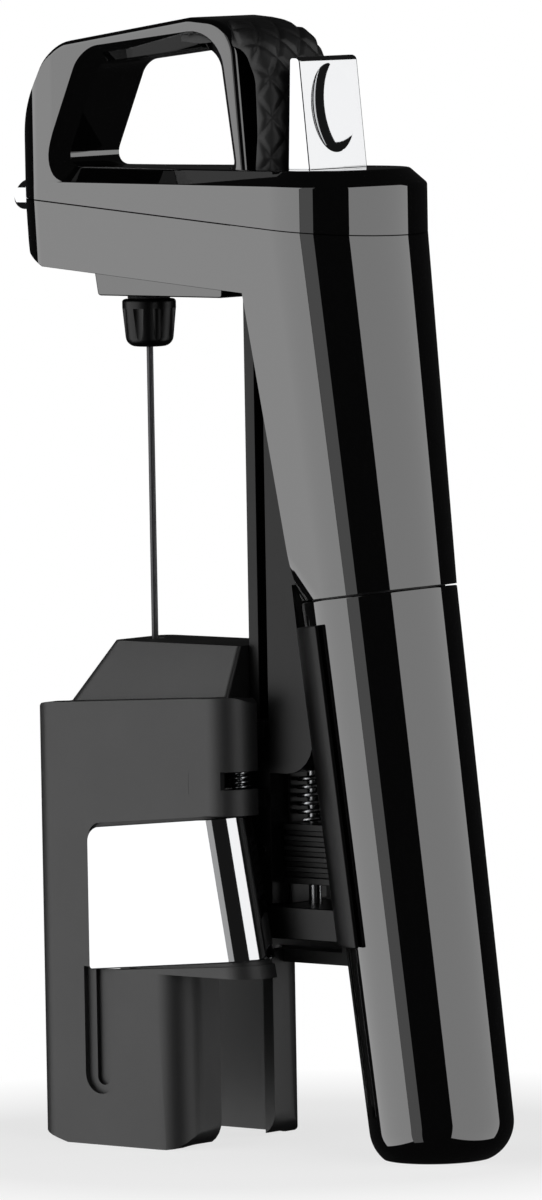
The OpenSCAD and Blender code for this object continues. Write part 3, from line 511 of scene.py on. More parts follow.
def haze_group():
    """Roughness that wanders a little, as handled or polished surfaces have."""
    tree, source, sink = new_group(
        "Handled haze", {"Base": 0.1, "Amount": 0.04, "Scale": 60.0}, "Roughness")
    broad = object_noise(tree, source.outputs["Scale"], 4, 0.6)
    fine_scale = math_node(tree, "MULTIPLY", source.outputs["Scale"], 9.0)
    fine = object_noise(tree, fine_scale, 2, 0.5)
    mixed = math_node(tree, "ADD", math_node(tree, "MULTIPLY", broad, 0.7),
                      math_node(tree, "MULTIPLY", fine, 0.3))
    centred = math_node(tree, "SUBTRACT", mixed, 0.42)
    moved = math_node(tree, "MULTIPLY", centred, source.outputs["Amount"])
    total = math_node(tree, "ADD", source.outputs["Base"], moved, clamp=True)
    tree.links.new(total, sink.inputs["Roughness"])
    return tree


def grain_group():
    """Height of a fine moulded grain, with a slower ripple under it."""
    tree, source, sink = new_group(
        "Moulded grain", {"Scale": 2200.0, "Ripple": 0.15}, "Height")
    fine = object_noise(tree, source.outputs["Scale"], 2, 0.55)
    slow = object_noise(tree, 45.0, 2, 0.4)
    ripple = math_node(tree, "MULTIPLY", slow, source.outputs["Ripple"])
    tree.links.new(math_node(tree, "ADD", fine, ripple), sink.inputs["Height"])
    return tree


def dust_group():
    """Mask of sparse dust specks, which settle on faces that look up."""
    tree, source, sink = new_group(
        "Settled dust", {"Amount": 0.4, "Scale": 1400.0}, "Mask")
    specks = object_noise(tree, source.outputs["Scale"], 1, 0.3)
    cloud = object_noise(tree, 90.0, 3, 0.6)
    bright = math_node(tree, "MULTIPLY", math_node(tree, "SUBTRACT", specks, 0.66, True), 5.0)
    patch = math_node(tree, "MULTIPLY", math_node(tree, "SUBTRACT", cloud, 0.4, True), 2.5)
    geometry = node(tree, "ShaderNodeNewGeometry")
    axes = node(tree, "ShaderNodeSeparateXYZ")
    tree.links.new(geometry.outputs["Normal"], axes.inputs[0])
    upward = math_node(tree, "ADD", math_node(tree, "MULTIPLY", axes.outputs[2], 0.7), 0.3, True)
    mask = math_node(tree, "MULTIPLY", math_node(tree, "MULTIPLY", bright, patch), upward)
    tree.links.new(math_node(tree, "MULTIPLY", mask, source.outputs["Amount"], True),
                   sink.inputs["Mask"])
    return tree


def brush_group():
    """Height of fine drawing lines along Z, as turned and drawn steel has."""
    tree, source, sink = new_group("Drawn lines", {"Scale": 900.0}, "Height")
    lines = object_noise(tree, source.outputs["Scale"], 3, 0.6, stretch=(1, 1, 0.04))
    tree.links.new(lines, sink.inputs["Height"])
    return tree


def wear_group():
    """Mask of edges rubbed paler, broken up by noise."""
    tree, source, sink = new_group("Rubbed edges", {"Amount": 0.5, "Reach": 8.0}, "Mask")
    geometry = node(tree, "ShaderNodeNewGeometry")
    raised = math_node(tree, "SUBTRACT", geometry.outputs["Pointiness"], 0.52, True)
    edge = math_node(tree, "MULTIPLY", raised, source.outputs["Reach"], True)
    broken = object_noise(tree, 260.0, 4, 0.65)
    patch = math_node(tree, "MULTIPLY", math_node(tree, "SUBTRACT", broken, 0.42, True), 4.0,
                      True)
    mask = math_node(tree, "MULTIPLY", edge, patch)
    tree.links.new(math_node(tree, "MULTIPLY", mask, source.outputs["Amount"], True),
                   sink.inputs["Mask"])
    return tree


# Each finish: roughness and its haze, metal, grain scale and depth, dust and rubbed edges.
RECIPES = {
    "gloss_black": dict(colour="gloss", rough=0.016, haze=(0.02, 45), level=0.9, ior=1.6,
                        grain=(160, 0.03, 0.3), dust=0.02, wear=0.0),
    "satin_black": dict(colour="satin", rough=0.34, haze=(0.12, 80), level=0.22,
                        grain=(1500, 0.10, 0.1), dust=0.04, wear=0.06),
    "soft_black": dict(colour="soft", rough=0.50, haze=(0.10, 60), level=0.58,
                       grain=(3000, 0.16, 0.1), dust=0.05, wear=0.06),
    "grip_rubber": dict(colour="rubber", rough=0.52, haze=(0.10, 120), level=0.45,
                        grain=(2600, 0.20, 0.1), dust=0.08, wear=0.10),
    "pad_rubber": dict(colour="pad", rough=0.75, haze=(0.10, 120), level=0.3,
                       grain=(1800, 0.25, 0.2), dust=0.3, wear=0.0),
    "chrome": dict(colour="chrome", metal=1.0, rough=0.045, haze=(0.05, 70),
                   grain=(140, 0.02, 0.3), dust=0.04, wear=0.0),
    "steel": dict(colour="steel", metal=1.0, rough=0.24, haze=(0.12, 150),
                  brush=(1100, 0.12), dust=0.05, wear=0.0),
    "needle_coat": dict(colour="coating", metal=0.5, rough=0.30, haze=(0.08, 200),
                        brush=(1600, 0.08), dust=0.0, wear=0.2),
    "capsule_steel": dict(colour="capsule", metal=1.0, rough=0.30, haze=(0.15, 60),
                          brush=(700, 0.10), dust=0.05, wear=0.1),
    "valve_alloy": dict(colour="alloy", metal=1.0, rough=0.27, haze=(0.12, 90),
                        brush=(800, 0.12), dust=0.05, wear=0.1),
    "inner_plastic": dict(colour="inner", rough=0.42, haze=(0.10, 70), level=0.4,
                          grain=(1500, 0.12, 0.1), dust=0.1, wear=0.0),
}


FINISH = "_finish"


def shared_group(name, make):
    return bpy.data.node_groups.get(name) or make()


def place_group(tree, group, **values):
    made = tree.nodes.new("ShaderNodeGroup")
    made.node_tree = group
    for key, value in values.items():
        made.inputs[key].default_value = value
    return made.outputs[0]


def material(slot):
    """The finish of a record slot, built on first use."""
    found = bpy.data.materials.get(slot + FINISH)
    if found:
        return found
    recipe = RECIPES[slot]
    mat = bpy.data.materials.new(slot + FINISH)
    mat.use_nodes = True
    tree = mat.node_tree
    shader = tree.nodes["Principled BSDF"]
    base = (*getattr(settings("finishes"), recipe["colour"]), 1)
    shader.inputs["Metallic"].default_value = recipe.get("metal", 0.0)
    shader.inputs["Specular IOR Level"].default_value = recipe.get("level", 0.5)
    shader.inputs["IOR"].default_value = recipe.get("ior", 1.5)

    amount, scale = recipe["haze"]
    rough = place_group(tree, shared_group("Handled haze", haze_group),
                        Base=recipe["rough"], Amount=amount, Scale=scale)
    tree.links.new(rough, shader.inputs["Roughness"])

    paler = tuple(min(c * 2.2 + 0.02, 1) for c in base[:3]) + (1,)
    dust = tuple(c * 0.5 + 0.12 for c in base[:3]) + (1,)
    tint = None
    for amount, name, make, shade in (
            (recipe["wear"], "Rubbed edges", wear_group, paler),
            (recipe["dust"], "Settled dust", dust_group, dust)):
        if not amount:
            continue
        mix = tree.nodes.new("ShaderNodeMix")
        mix.data_type = "RGBA"
        mask = place_group(tree, shared_group(name, make), Amount=amount)
        tree.links.new(mask, mix.inputs["Factor"])
        if tint is None:
            mix.inputs[6].default_value = base
        else:
            tree.links.new(tint, mix.inputs[6])
        mix.inputs[7].default_value = shade
        tint = mix.outputs[2]
    if tint is None:
        shader.inputs["Base Color"].default_value = base
    else:
        tree.links.new(tint, shader.inputs["Base Color"])

    bump = tree.nodes.new("ShaderNodeBump")
    if "grain" in recipe:
        scale, strength, ripple = recipe["grain"]
        height = place_group(tree, shared_group("Moulded grain", grain_group),
                             Scale=scale, Ripple=ripple)
    else:
        scale, strength = recipe["brush"]
        height = place_group(tree, shared_group("Drawn lines", brush_group), Scale=scale)
    bump.inputs["Strength"].default_value = strength
    bump.inputs["Distance"].default_value = 0.0001
    tree.links.new(height, bump.inputs["Height"])
    tree.links.new(bump.outputs[0], shader.inputs["Normal"])
    return mat


# ---------------------------------------------------------------- head

def seam_height(y):
    """Height of the head's seam at a distance from the needle."""
    slope = math.tan(settings("head").slope)
    return HEAD_TOP - size("head", "seam_drop") - (y - HEAD_FRONT) * slope


def under_height(y):
    slope = math.tan(settings("head").slope)
    return HEAD_TOP - size("head", "height") - (y - HEAD_FRONT) * slope


def sloped_normal():
    slope = settings("head").slope
    return Vector((0, math.sin(slope), math.cos(slope)))


def head_plan(grow=0.0):
    """Corners of the head from above: its straight sides touch both round ends."""
    front, rear = size("head", "front_radius"), size("head", "rear_radius")
    front_y, rear_y = HEAD_FRONT + front, HEAD_REAR - rear
    lean = math.asin((rear - front) / (rear_y - front_y))

    def half_width(y):
        return (front + (y - front_y) * math.sin(lean)) / math.cos(lean)

    low, high = half_width(HEAD_FRONT), half_width(HEAD_REAR)
    corners = [(-low, HEAD_FRONT, front), (low, HEAD_FRONT, front),
               (high, HEAD_REAR, rear), (-high, HEAD_REAR, rear)]
    return grown(corners, grow) if grow else corners


def make_head_cover():
    """Upper shell: chamfered top, slot for the trigger, and a rounded seam edge."""
    drop = size("head", "chamfer_drop")
    bm = plan_solid(head_plan(), HEAD_TOP - 24, HEAD_TOP - drop, 24)
    top = max(bm.faces, key=lambda f: f.calc_center_median().z)
    bmesh.ops.inset_region(bm, faces=[top], thickness=size("head", "chamfer"), depth=drop,
                           use_even_offset=True)
    rims = [e for e in sharp_edges(bm, 25) if all(v.co.z > HEAD_TOP - drop - 0.1
                                                  for v in e.verts)]
    soften(bm, rims, 0.45)
    seam = Vector((0, HEAD_FRONT, seam_height(HEAD_FRONT) + 0.06))
    rim = cut_off(bm, seam, sloped_normal())
    soften(bm, rim, size("head", "seam_lip"), 2)
    low, high = span("trigger")
    grip_rear = span("handle_grip")[1].y
    slot = box_solid((low.x - 0.7, grip_rear + 0.9, HEAD_TOP - 5),
                     (high.x + 0.7, high.y + 1.8, HEAD_TOP + 1))
    bm = minus(bm, slot)
    piece("head_top_cover", bm, "head", "gloss_black", ["head_upper_shell"], edge=0.25)


def sleeve_solid():
    """The slanted sleeve: an open-fronted wall from the head's seam to the cup's mouth."""
    bm = bmesh.new()
    for p in outline(head_plan(), 24):
        bm.verts.new((p.x, p.y, seam_height(p.y)))
    circle = bmesh.new()
    bmesh.ops.create_circle(circle, segments=144, radius=size("cup", "mouth_radius"))
    transformed(circle, cup_place())
    joined(bm, circle)
    bm.verts.ensure_lookup_table()
    made = bmesh.ops.convex_hull(bm, input=bm.verts)
    bmesh.ops.delete(bm, geom=[g for g in made["geom_interior"]
                               if isinstance(g, bmesh.types.BMVert)], context="VERTS")
    mouth = cup_place().to_3x3() @ Vector((0, 0, -1))
    ends = [f for f in bm.faces if f.normal.dot(sloped_normal()) > 0.98
            or f.normal.dot(mouth) > 0.98]
    bmesh.ops.delete(bm, geom=ends, context="FACES")
    front_low = Vector((0, RAIL_FRONT + 22.3, size("cup", "seam")))
    front_high = Vector((0, RAIL_FRONT + 7, seam_height(RAIL_FRONT + 7)))
    along = front_high - front_low
    cut_off(bm, front_low, Vector((0, along.z, -along.y)).normalized(), fill=False)
    bmesh.ops.recalc_face_normals(bm, faces=bm.faces)
    middle = Vector((0, RAIL_FRONT + 30, 170))
    outward = sum((f.normal.dot(f.calc_center_median() - middle) for f in bm.faces))
    if outward < 0:
        bmesh.ops.reverse_faces(bm, faces=bm.faces)
    bmesh.ops.solidify(bm, geom=bm.faces[:], thickness=size("head", "wall"))
    bmesh.ops.recalc_face_normals(bm, faces=bm.faces)
    return bm


def cup_place():
    """Puts the cup's own frame, Z up its axis from the seam, into the drawing."""
    return (Matrix.Translation((0, HEAD_REAR - 10, size("cup", "seam")))
            @ Matrix.Rotation(settings("cup").tilt, 4, "X"))


def make_head_body():
    """Lower shell: the arm over the needle and the slanted sleeve, in one moulding."""
    draft = 0.0505
    rings = []
    for rise in (10, -30):
        corners = head_plan(rise * draft - 0.004)
        rings.append([Vector((p.x, p.y, seam_height(p.y) + rise))
                      for p in outline(corners, 24)])
    arm = loft(rings)
    lip = Vector((0, HEAD_FRONT, seam_height(HEAD_FRONT) - 0.06))
    cut_off(arm, lip, -sloped_normal())
    cut_off(arm, Vector((0, HEAD_FRONT, under_height(HEAD_FRONT))), sloped_normal())
    nose = [((-34, 219), (-29.2, 207.2)), ((-29.2, 207.2), (-22.4, 203.6))]
    for (y0, z0), (y1, z1) in nose:
        cut_off(arm, Vector((0, y0, z0)), Vector((0, z0 - z1, y1 - y0)).normalized())
    low_edges = sharp_edges(arm, 12, lambda e: all(
        v.co.z < seam_height(v.co.y) - 0.3 for v in e.verts))
    soften(arm, low_edges, 1.2, 4)
    bm = plus(sleeve_solid(), arm)
    low, high = span("rail_housing")
    slot = box_solid((low.x - 0.2, RAIL_FRONT, 125),
                     (high.x + 0.2, RAIL_FRONT + 24, span("spine_rail")[1].z))
    bm = minus(bm, slot)
    piece("head_body_shell", bm, "head", "gloss_black", ["head_lower_shell"], edge=0.3)


def handle_opening():
    """Side outline of the finger opening, its lower edge on the head's top."""
    low, high = span("handle_frame")
    return [(low.y + 15.9, HEAD_TOP + 0.05, 3.2), (low.y + 26.8, HANDLE_TOP - 10.6, 5.5),
            (high.y - 11, HANDLE_TOP - 6.4, 6), (high.y - 6.6, HEAD_TOP + 0.05, 1.6)]


def make_handle():
    """The loop over the head, with a chamfered ring round its opening."""
    low, high = span("handle_frame")
    half = size("handle", "half_width")
    outer = [(HEAD_FRONT + 0.5, HEAD_TOP - 5), (HEAD_FRONT + 0.9, HEAD_TOP, 26),
             (HEAD_FRONT + 4.3, HEAD_TOP + 10.5, 30), (HEAD_FRONT + 14.2, HANDLE_TOP - 6.4, 12),
             (high.y - 17, HANDLE_TOP, 8), (high.y - 3.5, HANDLE_TOP - 1.2, 9),
             (high.y, HEAD_TOP - 5)]
    bm = side_solid(outer, -half, half)
    rims = [e for e in sharp_edges(bm, 50) if abs(e.verts[0].co.x - e.verts[1].co.x) < 0.01]
    soften(bm, rims, size("handle", "outer_round"), 5)
    ring = size("handle", "opening_chamfer")
    corners = handle_opening()
    rings = [[across(p, x) for p in outline(grown(corners, step), 10)]
             for x, step in ((-half - 1, ring + 1), (-half + ring, 0), (half - ring, 0),
                             (half + 1, ring + 1))]
    bm = minus(bm, loft(rings))
    bm = within(bm, plan_solid(head_plan(-0.02), HEAD_TOP - 8, HANDLE_TOP + 5, 24))
    for x in (-3.2, 3.2):
        a = Vector((x, low.y + 31, HANDLE_TOP - 9.4))
        b = Vector((x, high.y - 15, HANDLE_TOP - 6.2))
        bm = minus(bm, rod_solid(a, b, 1.3, steps=20))
    piece("handle_loop", bm, "head", "gloss_black", ["handle_frame"], edge=0.4)


def grip_path():
    """Outer line of the grip from the top bar down to the head, as even (Y, Z) points."""
    low, high = span("handle_grip")
    corners = [(low.y - 2, HANDLE_TOP - 0.5), (low.y + 3, HANDLE_TOP - 1.0, 6),
               (low.y + 10, HANDLE_TOP - 0.4, 12), (high.y - 4.6, HANDLE_TOP - 3.6, 9),
               (high.y - 0.2, HEAD_TOP + 22.0, 12), (high.y + 0.2, HEAD_TOP + 8, 30),
               (high.y - 0.6, HEAD_TOP - 0.8), (low.y - 2, HEAD_TOP - 0.8)]
    points = outline(corners, 12)
    start = min(range(len(points)), key=lambda i: (points[i] - Vector(corners[0][:2])).length)
    points = points[start:] + points[:start]
    if (points[1] - Vector(corners[-1][:2])).length < (points[-1] - Vector(
            corners[-1][:2])).length:
        points = [points[0]] + points[:0:-1]
    end = min(range(len(points)), key=lambda i: (points[i] - Vector(corners[-2][:2])).length)
    points = points[:end + 1]
    dist = [0.0]
    for a, b in zip(points, points[1:]):
        dist.append(dist[-1] + (b - a).length)
    return points, dist


def along_path(points, dist, s):
    """Point and outward normal at a distance along the path."""
    i = 0
    while i < len(dist) - 2 and dist[i + 1] < s:
        i += 1
    share = (s - dist[i]) / (dist[i + 1] - dist[i])
    here = points[i].lerp(points[i + 1], share)
    before = (points[i] - points[max(i - 1, 0)]).normalized() if i else None
    step = (points[i + 1] - points[i]).normalized()
    later = (points[min(i + 2, len(points) - 1)] - points[i + 1])
    nxt = later.normalized() if later.length else step
    prv = before or step
    tangent = ((prv + step).normalized().lerp((step + nxt).normalized(), share)).normalized()
    return here, Vector((-tangent.y, tangent.x))


def make_grip():
    """Rubber grip: a rounded strip down the rear of the loop, quilted in diamonds."""
    points, dist = grip_path()
    total = dist[-1]
    flat, bend, straight = 7.0, 5.0, 0.1
    half_arc = flat + bend * math.pi / 2 + straight
    wide, tall = size("handle", "quilt_width"), size("handle", "quilt_height")
    depth = size("handle", "quilt_depth")

    def wave(t):
        return 1 - abs(2 * (t % 1) - 1)

    bm = bmesh.new()
    bmesh.ops.create_grid(bm, x_segments=110, y_segments=200, size=1)
    for vert in bm.verts:
        a, b = vert.co.x, (vert.co.y + 1) / 2
        s, q = b * total, abs(a) * half_arc
        if q < flat:
            x, drop, lean = q, 0.0, 0.0
        elif q < flat + bend * math.pi / 2:
            lean = (q - flat) / bend
            x, drop = flat + bend * math.sin(lean), bend * (1 - math.cos(lean))
        else:
            lean = math.pi / 2
            x, drop = flat + bend, bend + q - flat - bend * math.pi / 2
        here, out = along_path(points, dist, s)
        if out.y < 0 and b < 0.3 or out.x < 0 and b > 0.6:
            out = -out
        u, v = a * half_arc / wide, s / tall
        pillow = min(wave(u + v), wave(u - v))
        fade = min(1, (half_arc - q) / 3.0, s / 2.5, (total - s) / 1.5)
        rise = depth * (min(pillow * 2.2, 1) ** 0.8 - 1) * max(fade, 0)
        side = math.copysign(1, a)
        px = x * side + rise * math.sin(lean) * side
        down = here - out * drop + out * rise * math.cos(lean)
        vert.co = Vector((px, down.x, down.y))
    bmesh.ops.recalc_face_normals(bm, faces=bm.faces)
    probe = max(bm.faces, key=lambda f: f.calc_center_median().y)
    if probe.normal.y < 0:
        bmesh.ops.reverse_faces(bm, faces=bm.faces)
    grip = piece("grip_cover", bm, "head", "grip_rubber", ["handle_grip"], smooth=60,
                 flat_shading=False)
    wall = grip.modifiers.new("wall", "SOLIDIFY")
    wall.thickness, wall.offset = 1.0 * MM, -1


def make_trigger():
    """Chrome paddle with its thumb scoop, and the lever behind it kept below."""
    low, high = span("trigger")
    half = size("trigger", "half_width")
    front = high.y - 6.5
    base = HEAD_TOP - 1.4
    corners = [(front, base), (front + 1, TRIGGER_TOP, 0.9), (front + 3.9, TRIGGER_TOP, 1.3),
               (front + 6.5, HEAD_TOP + 0.3, 0.6), (front + 6.5, base)]
    bm = side_solid(corners, -half, half, 6)
    rims = [e for e in sharp_edges(bm, 50) if abs(e.verts[0].co.x - e.verts[1].co.x) < 0.01]
    soften(bm, rims, size("trigger", "edge"), 3)
    ball = bmesh.new()
    bmesh.ops.create_uvsphere(ball, u_segments=96, v_segments=64, radius=1)
    deep = 7.0
    width, height = size("trigger", "scoop_width") / 2, size("trigger", "scoop_height") / 2
    depth = size("trigger", "scoop_depth")
    ratio = math.sqrt(1 - (1 - depth / deep) ** 2)
    bmesh.ops.scale(ball, vec=(width / ratio, deep, height / ratio), verts=ball.verts)
    face_lean = math.atan2(2.6, TRIGGER_TOP - HEAD_TOP)
    bmesh.ops.rotate(ball, cent=(0, 0, 0), matrix=Matrix.Rotation(face_lean, 3, "X"),
                     verts=ball.verts)
    mid_z = HEAD_TOP + 0.56 * (TRIGGER_TOP - HEAD_TOP)
    mid_y = front + 3.9 + 2.6 * (TRIGGER_TOP - mid_z) / (TRIGGER_TOP - HEAD_TOP)
    bmesh.ops.translate(ball, vec=(0, mid_y + deep - depth, mid_z), verts=ball.verts)
    bm = minus(bm, ball)
    lever = cad_copy("trigger")
    cut_off(lever, Vector((0, 0, HEAD_TOP - 1.3)), Vector((0, 0, -1)))
    bm = plus(bm, lever)
    piece("trigger_paddle", bm, "trigger", "chrome", ["trigger"], edge=0.25, smooth=28)


def make_spout():
    """Chrome spout stub with an obliquely cut, rounded tip."""
    low, high = span("spout")
    centre_z = (low.z + high.z) / 2
    bm = turned([(1.5, 0, 0.3), (3.5, 0, 1.0), (3.5, 10), (1.5, 10)], 64, 5)
    cut_off(bm, Vector((0, 0, 0.9)), Vector((0, 0.30, 1)).normalized())
    soften(bm, sharp_edges(bm, 40, lambda e: max(v.co.z for v in e.verts) < 4), 0.35, 3)
    place = (Matrix.Translation((0, low.y - 0.4, centre_z))
             @ Matrix.Rotation(math.radians(-90), 4, "X"))
    transformed(bm, place)
    bmesh.ops.recalc_face_normals(bm, faces=bm.faces)
    piece("spout_stub", bm, "head", "chrome", ["spout"], smooth=30)


# ---------------------------------------------------------------- needle

def make_needle():
    """Plate under the arm, washer, fluted hub and the coated needle."""
    low, high = span("needle_plate")
    bm = side_solid([(low.y - 1.6, low.z + 9), (low.y, low.z, 0.8), (high.y, low.z, 0.8),
                     (high.y, low.z + 4.6), (low.y + 5, low.z + 9)], low.x, high.x, 4)
    piece("under_plate", bm, "head", "gloss_black", ["needle_plate"], edge=0.35)
    low, high = span("needle_washer")
    bm = turned([(1.2, low.z, 0.1), (high.x, low.z, 0.25), (high.x, high.z, 0.25),
                 (1.2, high.z, 0.1)], 64, 3)
    piece("washer_ring", bm, "needle_washer", "pad_rubber", ["needle_washer"], smooth=50)
    low, high = span("needle_hub")
    top = span("needle_washer")[0].z - 0.1
    bottom, radius = low.z, high.x
    bm = turned([(0, bottom), (radius - 0.9, bottom, 2.4), (radius, top - 2.0, 0.5),
                 (radius, top, 0.7), (0, top)], 96, 6)
    flutes = 8
    for i in range(flutes):
        turn = Matrix.Rotation(math.tau * (i + 0.35) / flutes, 4, "Z")
        start = turn @ Vector((radius + 1.55, 0, bottom - 2))
        end = turn @ Vector((radius + 1.95, 0, top - 2.2))
        bm = minus(bm, rod_solid(start, end, 2.5, steps=40))
    bm = plus(bm, rod_solid((0, 0, top - 1), (0, 0, high.z), 2.9, steps=40))
    piece("fluted_hub", bm, "needle", "satin_black", ["needle_hub"], edge=0.3, smooth=38)
    low, high = span("needle")
    radius = high.x
    bm = turned([(0, low.z), (radius, low.z + 4, 1.5), (radius, high.z), (0, high.z)], 32, 3)
    piece("coated_needle", bm, "needle", "needle_coat", ["needle"], smooth=50)


# ---------------------------------------------------------------- column

def refined(name, node, body, slot, edge):
    """A piece from a CAD node's own shape, with its edges rounded."""
    return piece(name, cad_copy(node), body, slot, [node], edge=edge, smooth=32)


def coil_piece(name, node, body, turns, wire=0.45):
    """A wire spring that fills a CAD spring's box."""
    low, high = span(node)
    radius = (high.x - low.x) / 2
    centre = (low + high) / 2
    bm = bmesh.new()
    bmesh.ops.create_circle(bm, segments=12, radius=wire)
    bmesh.ops.rotate(bm, cent=(0, 0, 0), matrix=Matrix.Rotation(math.pi / 2, 3, "X"),
                     verts=bm.verts)
    bmesh.ops.translate(bm, vec=(radius - wire, 0, 0), verts=bm.verts)
    climb = high.z - low.z - 2 * wire
    steps = int(turns * 28)
    bmesh.ops.spin(bm, geom=bm.verts[:] + bm.edges[:], cent=(0, 0, 0), axis=(0, 0, 1),
                   dvec=(0, 0, climb / steps), angle=math.tau * turns, steps=steps,
                   use_merge=False, use_duplicate=False)
    open_edges = [e for e in bm.edges if len(e.link_faces) == 1]
    bmesh.ops.holes_fill(bm, edges=open_edges, sides=0)
    bmesh.ops.recalc_face_normals(bm, faces=bm.faces)
    bmesh.ops.translate(bm, vec=(centre.x, centre.y, low.z + wire), verts=bm.verts)
    piece(name, bm, body, "steel", [node], smooth=50, flat_shading=False)


def make_column():
    """Rail with its housing, foot, cup guard, guide block and guide spring."""
    for name, cad, edge in (("rail_beam", "spine_rail", 0.4),
                            ("rail_cheeks", "rail_housing", 0.5),
                            ("rail_foot_block", "rail_foot", 0.5),
                            ("cup_guard_shell", "cup_guard", 0.25),
                            ("ribbed_block", "guide_block", 0.25)):
        refined(name, cad, "head", "satin_black", edge)
    coil_piece("guide_coil", "guide_spring", "head", 5.5, wire=0.55)


def make_cup():
    """Capsule cup: a tapered gloss shell with a rounded foot, cut flat to stand on."""
    mouth, foot = size("cup", "mouth_radius"), size("cup", "foot_radius")
    down = size("cup", "seam") / math.cos(settings("cup").tilt) + 1.6
    gap = size("cup", "seam_gap")
    wall = 2.6
    corners = [(0, -down), (foot, -down, size("cup", "foot_round")), (mouth, -gap, 0.35),
               (mouth - wall, -gap, 0.3), (mouth - wall, -14), (foot - wall, -down + 12, 6),
               (0, -down + 12)]
    bm = transformed(turned(corners, settings("cup").steps, 16), cup_place())
    rim = cut_off(bm, Vector((0, 0, 0)), Vector((0, 0, 1)))
    soften(bm, rim, 1.3, 6)
    piece("cup_shell", bm, "cup", "gloss_black", ["capsule_cup"], smooth=50)


# ---------------------------------------------------------------- clamp

def make_hood():
    """Soft-touch hood with its needle hole."""
    refined("hood_cover", "clamp_hood", "clamp", "soft_black", 0.8)


def make_slider():
    """Slider round the rail, and the two jaw springs."""
    refined("slider_block", "carriage_slider", "clamp", "satin_black", 0.35)
    for side in ("left", "right"):
        coil_piece(f"{side}_jaw_coil", f"{side}_jaw_spring", "clamp", 3.5)


def jaw_plate_solid():
    """The right jaw's bright plate: a thin band wrapped round the jaw's rear corner."""
    low, high = span("right_jaw_plate")
    proud, thick = size("clamp", "plate_proud"), size("clamp", "plate_thickness")
    inner_x = low.x

    def band(step):
        rings = []
        for z, rear in ((36.0, 47 + 0.9), (84.0, 38.6)):
            corners = [(0, -30), (JAW_SIDE + step, -30), (JAW_SIDE + step, rear + step, 8 + step),
                       (0, rear + step)]
            rings.append([upright(p, z) for p in outline(corners, 20)])
        return loft(rings)

    bm = minus(band(proud), band(proud - thick))
    side_view = [(low.y, low.z + 0.1, 1.0), (60, low.z + 5.7), (60, high.z + 1.4),
                 (low.y, high.z - 4.6, 3.6)]
    bm = within(bm, side_solid(side_view, inner_x, 40, 8))
    return bm


def jaw_rear_wall():
    """The jaw's upper rear wall, wrapped in behind the hinge and notched at its pin."""
    low, high = span("right_jaw_shell")
    rear, foot = RAIL_FRONT + 8.1, span("right_jaw_plate")[1].z - 0.4

    def band(inset):
        side = JAW_SIDE - 0.03 - inset
        return plan_solid([(0, 20), (side, 20), (side, rear - inset, 8 - inset),
                           (0, rear - inset)], foot, high.z + 3, 16)

    profile = [(26, foot - 1), (26, high.z - 0.72), (rear + 0.4, high.z + 0.1, 3),
               (rear + 0.4, foot - 1)]
    wall = within(minus(band(0), band(1.35)), side_solid(profile, 14.1, JAW_SIDE + 1))
    pin = high.z - 106
    notch = box_solid((0, rear - 4.6, pin + 84.6), (JAW_SIDE + 1, rear + 1, pin + 88.8))
    return minus(wall, notch)


def make_jaws():
    """Both jaws: soft-touch shells, bright plates and rubber neck pads."""
    for side in ("left", "right"):
        body = f"{side}_jaw"
        wall = jaw_rear_wall()
        if side == "left":
            wall = mirrored(wall)
        piece(f"{side}_jaw_cover", plus(cad_copy(f"{side}_jaw_shell"), wall), body,
              "soft_black", [f"{side}_jaw_shell"], edge=0.8, smooth=32)
        plate = jaw_plate_solid()
        if side == "left":
            plate = mirrored(plate)
        piece(f"{side}_bright_plate", plate, body, "chrome", [f"{side}_jaw_plate"],
              edge=0.3, smooth=30)
        refined(f"{side}_pad", f"{side}_neck_pad", body, "pad_rubber", 0.4)


CARRIED = {
    "satin_black": ("hood_base",),
    "pad_rubber": ("bottle_stop", "capsule_seal", "cup_cushion"),
    "steel": ("head_screws", "spout_tube", "plate_screws", "trigger_pin", "trigger_spring",
              "valve_spring", "piercing_pin", "gas_tube", "foot_screw", "guide_rod",
              "needle_guide", "left_hinge_pin", "right_hinge_pin", "left_plate_screws",
              "right_plate_screws", "valve_stem"),
    "chrome": ("detent_pins",),
    "capsule_steel": ("gas_capsule",),
    "valve_alloy": ("valve_body",),
    "inner_plastic": ("needle_socket", "threaded_collar"),
}


def finish_carried_parts():
    """Gives every CAD node that is kept as it is its finish."""
    for slot, names in CARRIED.items():
        for name in names:
            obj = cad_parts[name]
            obj.data.materials.clear()
            obj.data.materials.append(material(slot))


# ---------------------------------------------------------------- stage

def camera_axes():
    stage = settings("stage")
    azimuth, elevation, roll = stage.azimuth, stage.elevation, stage.roll
    back = Vector((math.sin(azimuth) * math.cos(elevation),
                   -math.cos(azimuth) * math.cos(elevation), math.sin(elevation)))
    right = Vector((math.cos(azimuth), math.sin(azimuth), 0))
    up = back.cross(right)
    tilted = right * math.cos(roll) - up * math.sin(roll)
    return tilted, back.cross(tilted), back


def make_camera():
    low, high = (Vector(corner) for corner in CAD_BOX)
    middle = (low + high) / 2
    target = Vector((middle.x, NEEDLE_Y + 0.0356, 0.1271))
    right, up, back = camera_axes()
    data = bpy.data.cameras.new("camera")
    data.lens, data.sensor_width, data.clip_end = settings("stage").lens, 36, 50
    camera = bpy.data.objects.new("camera", data)
    turn = Matrix((right, up, back)).transposed().to_4x4()
    camera.matrix_world = Matrix.Translation(
        target + back * settings("stage").distance) @ turn
    bpy.context.scene.collection.objects.link(camera)
    bpy.context.scene.camera = camera


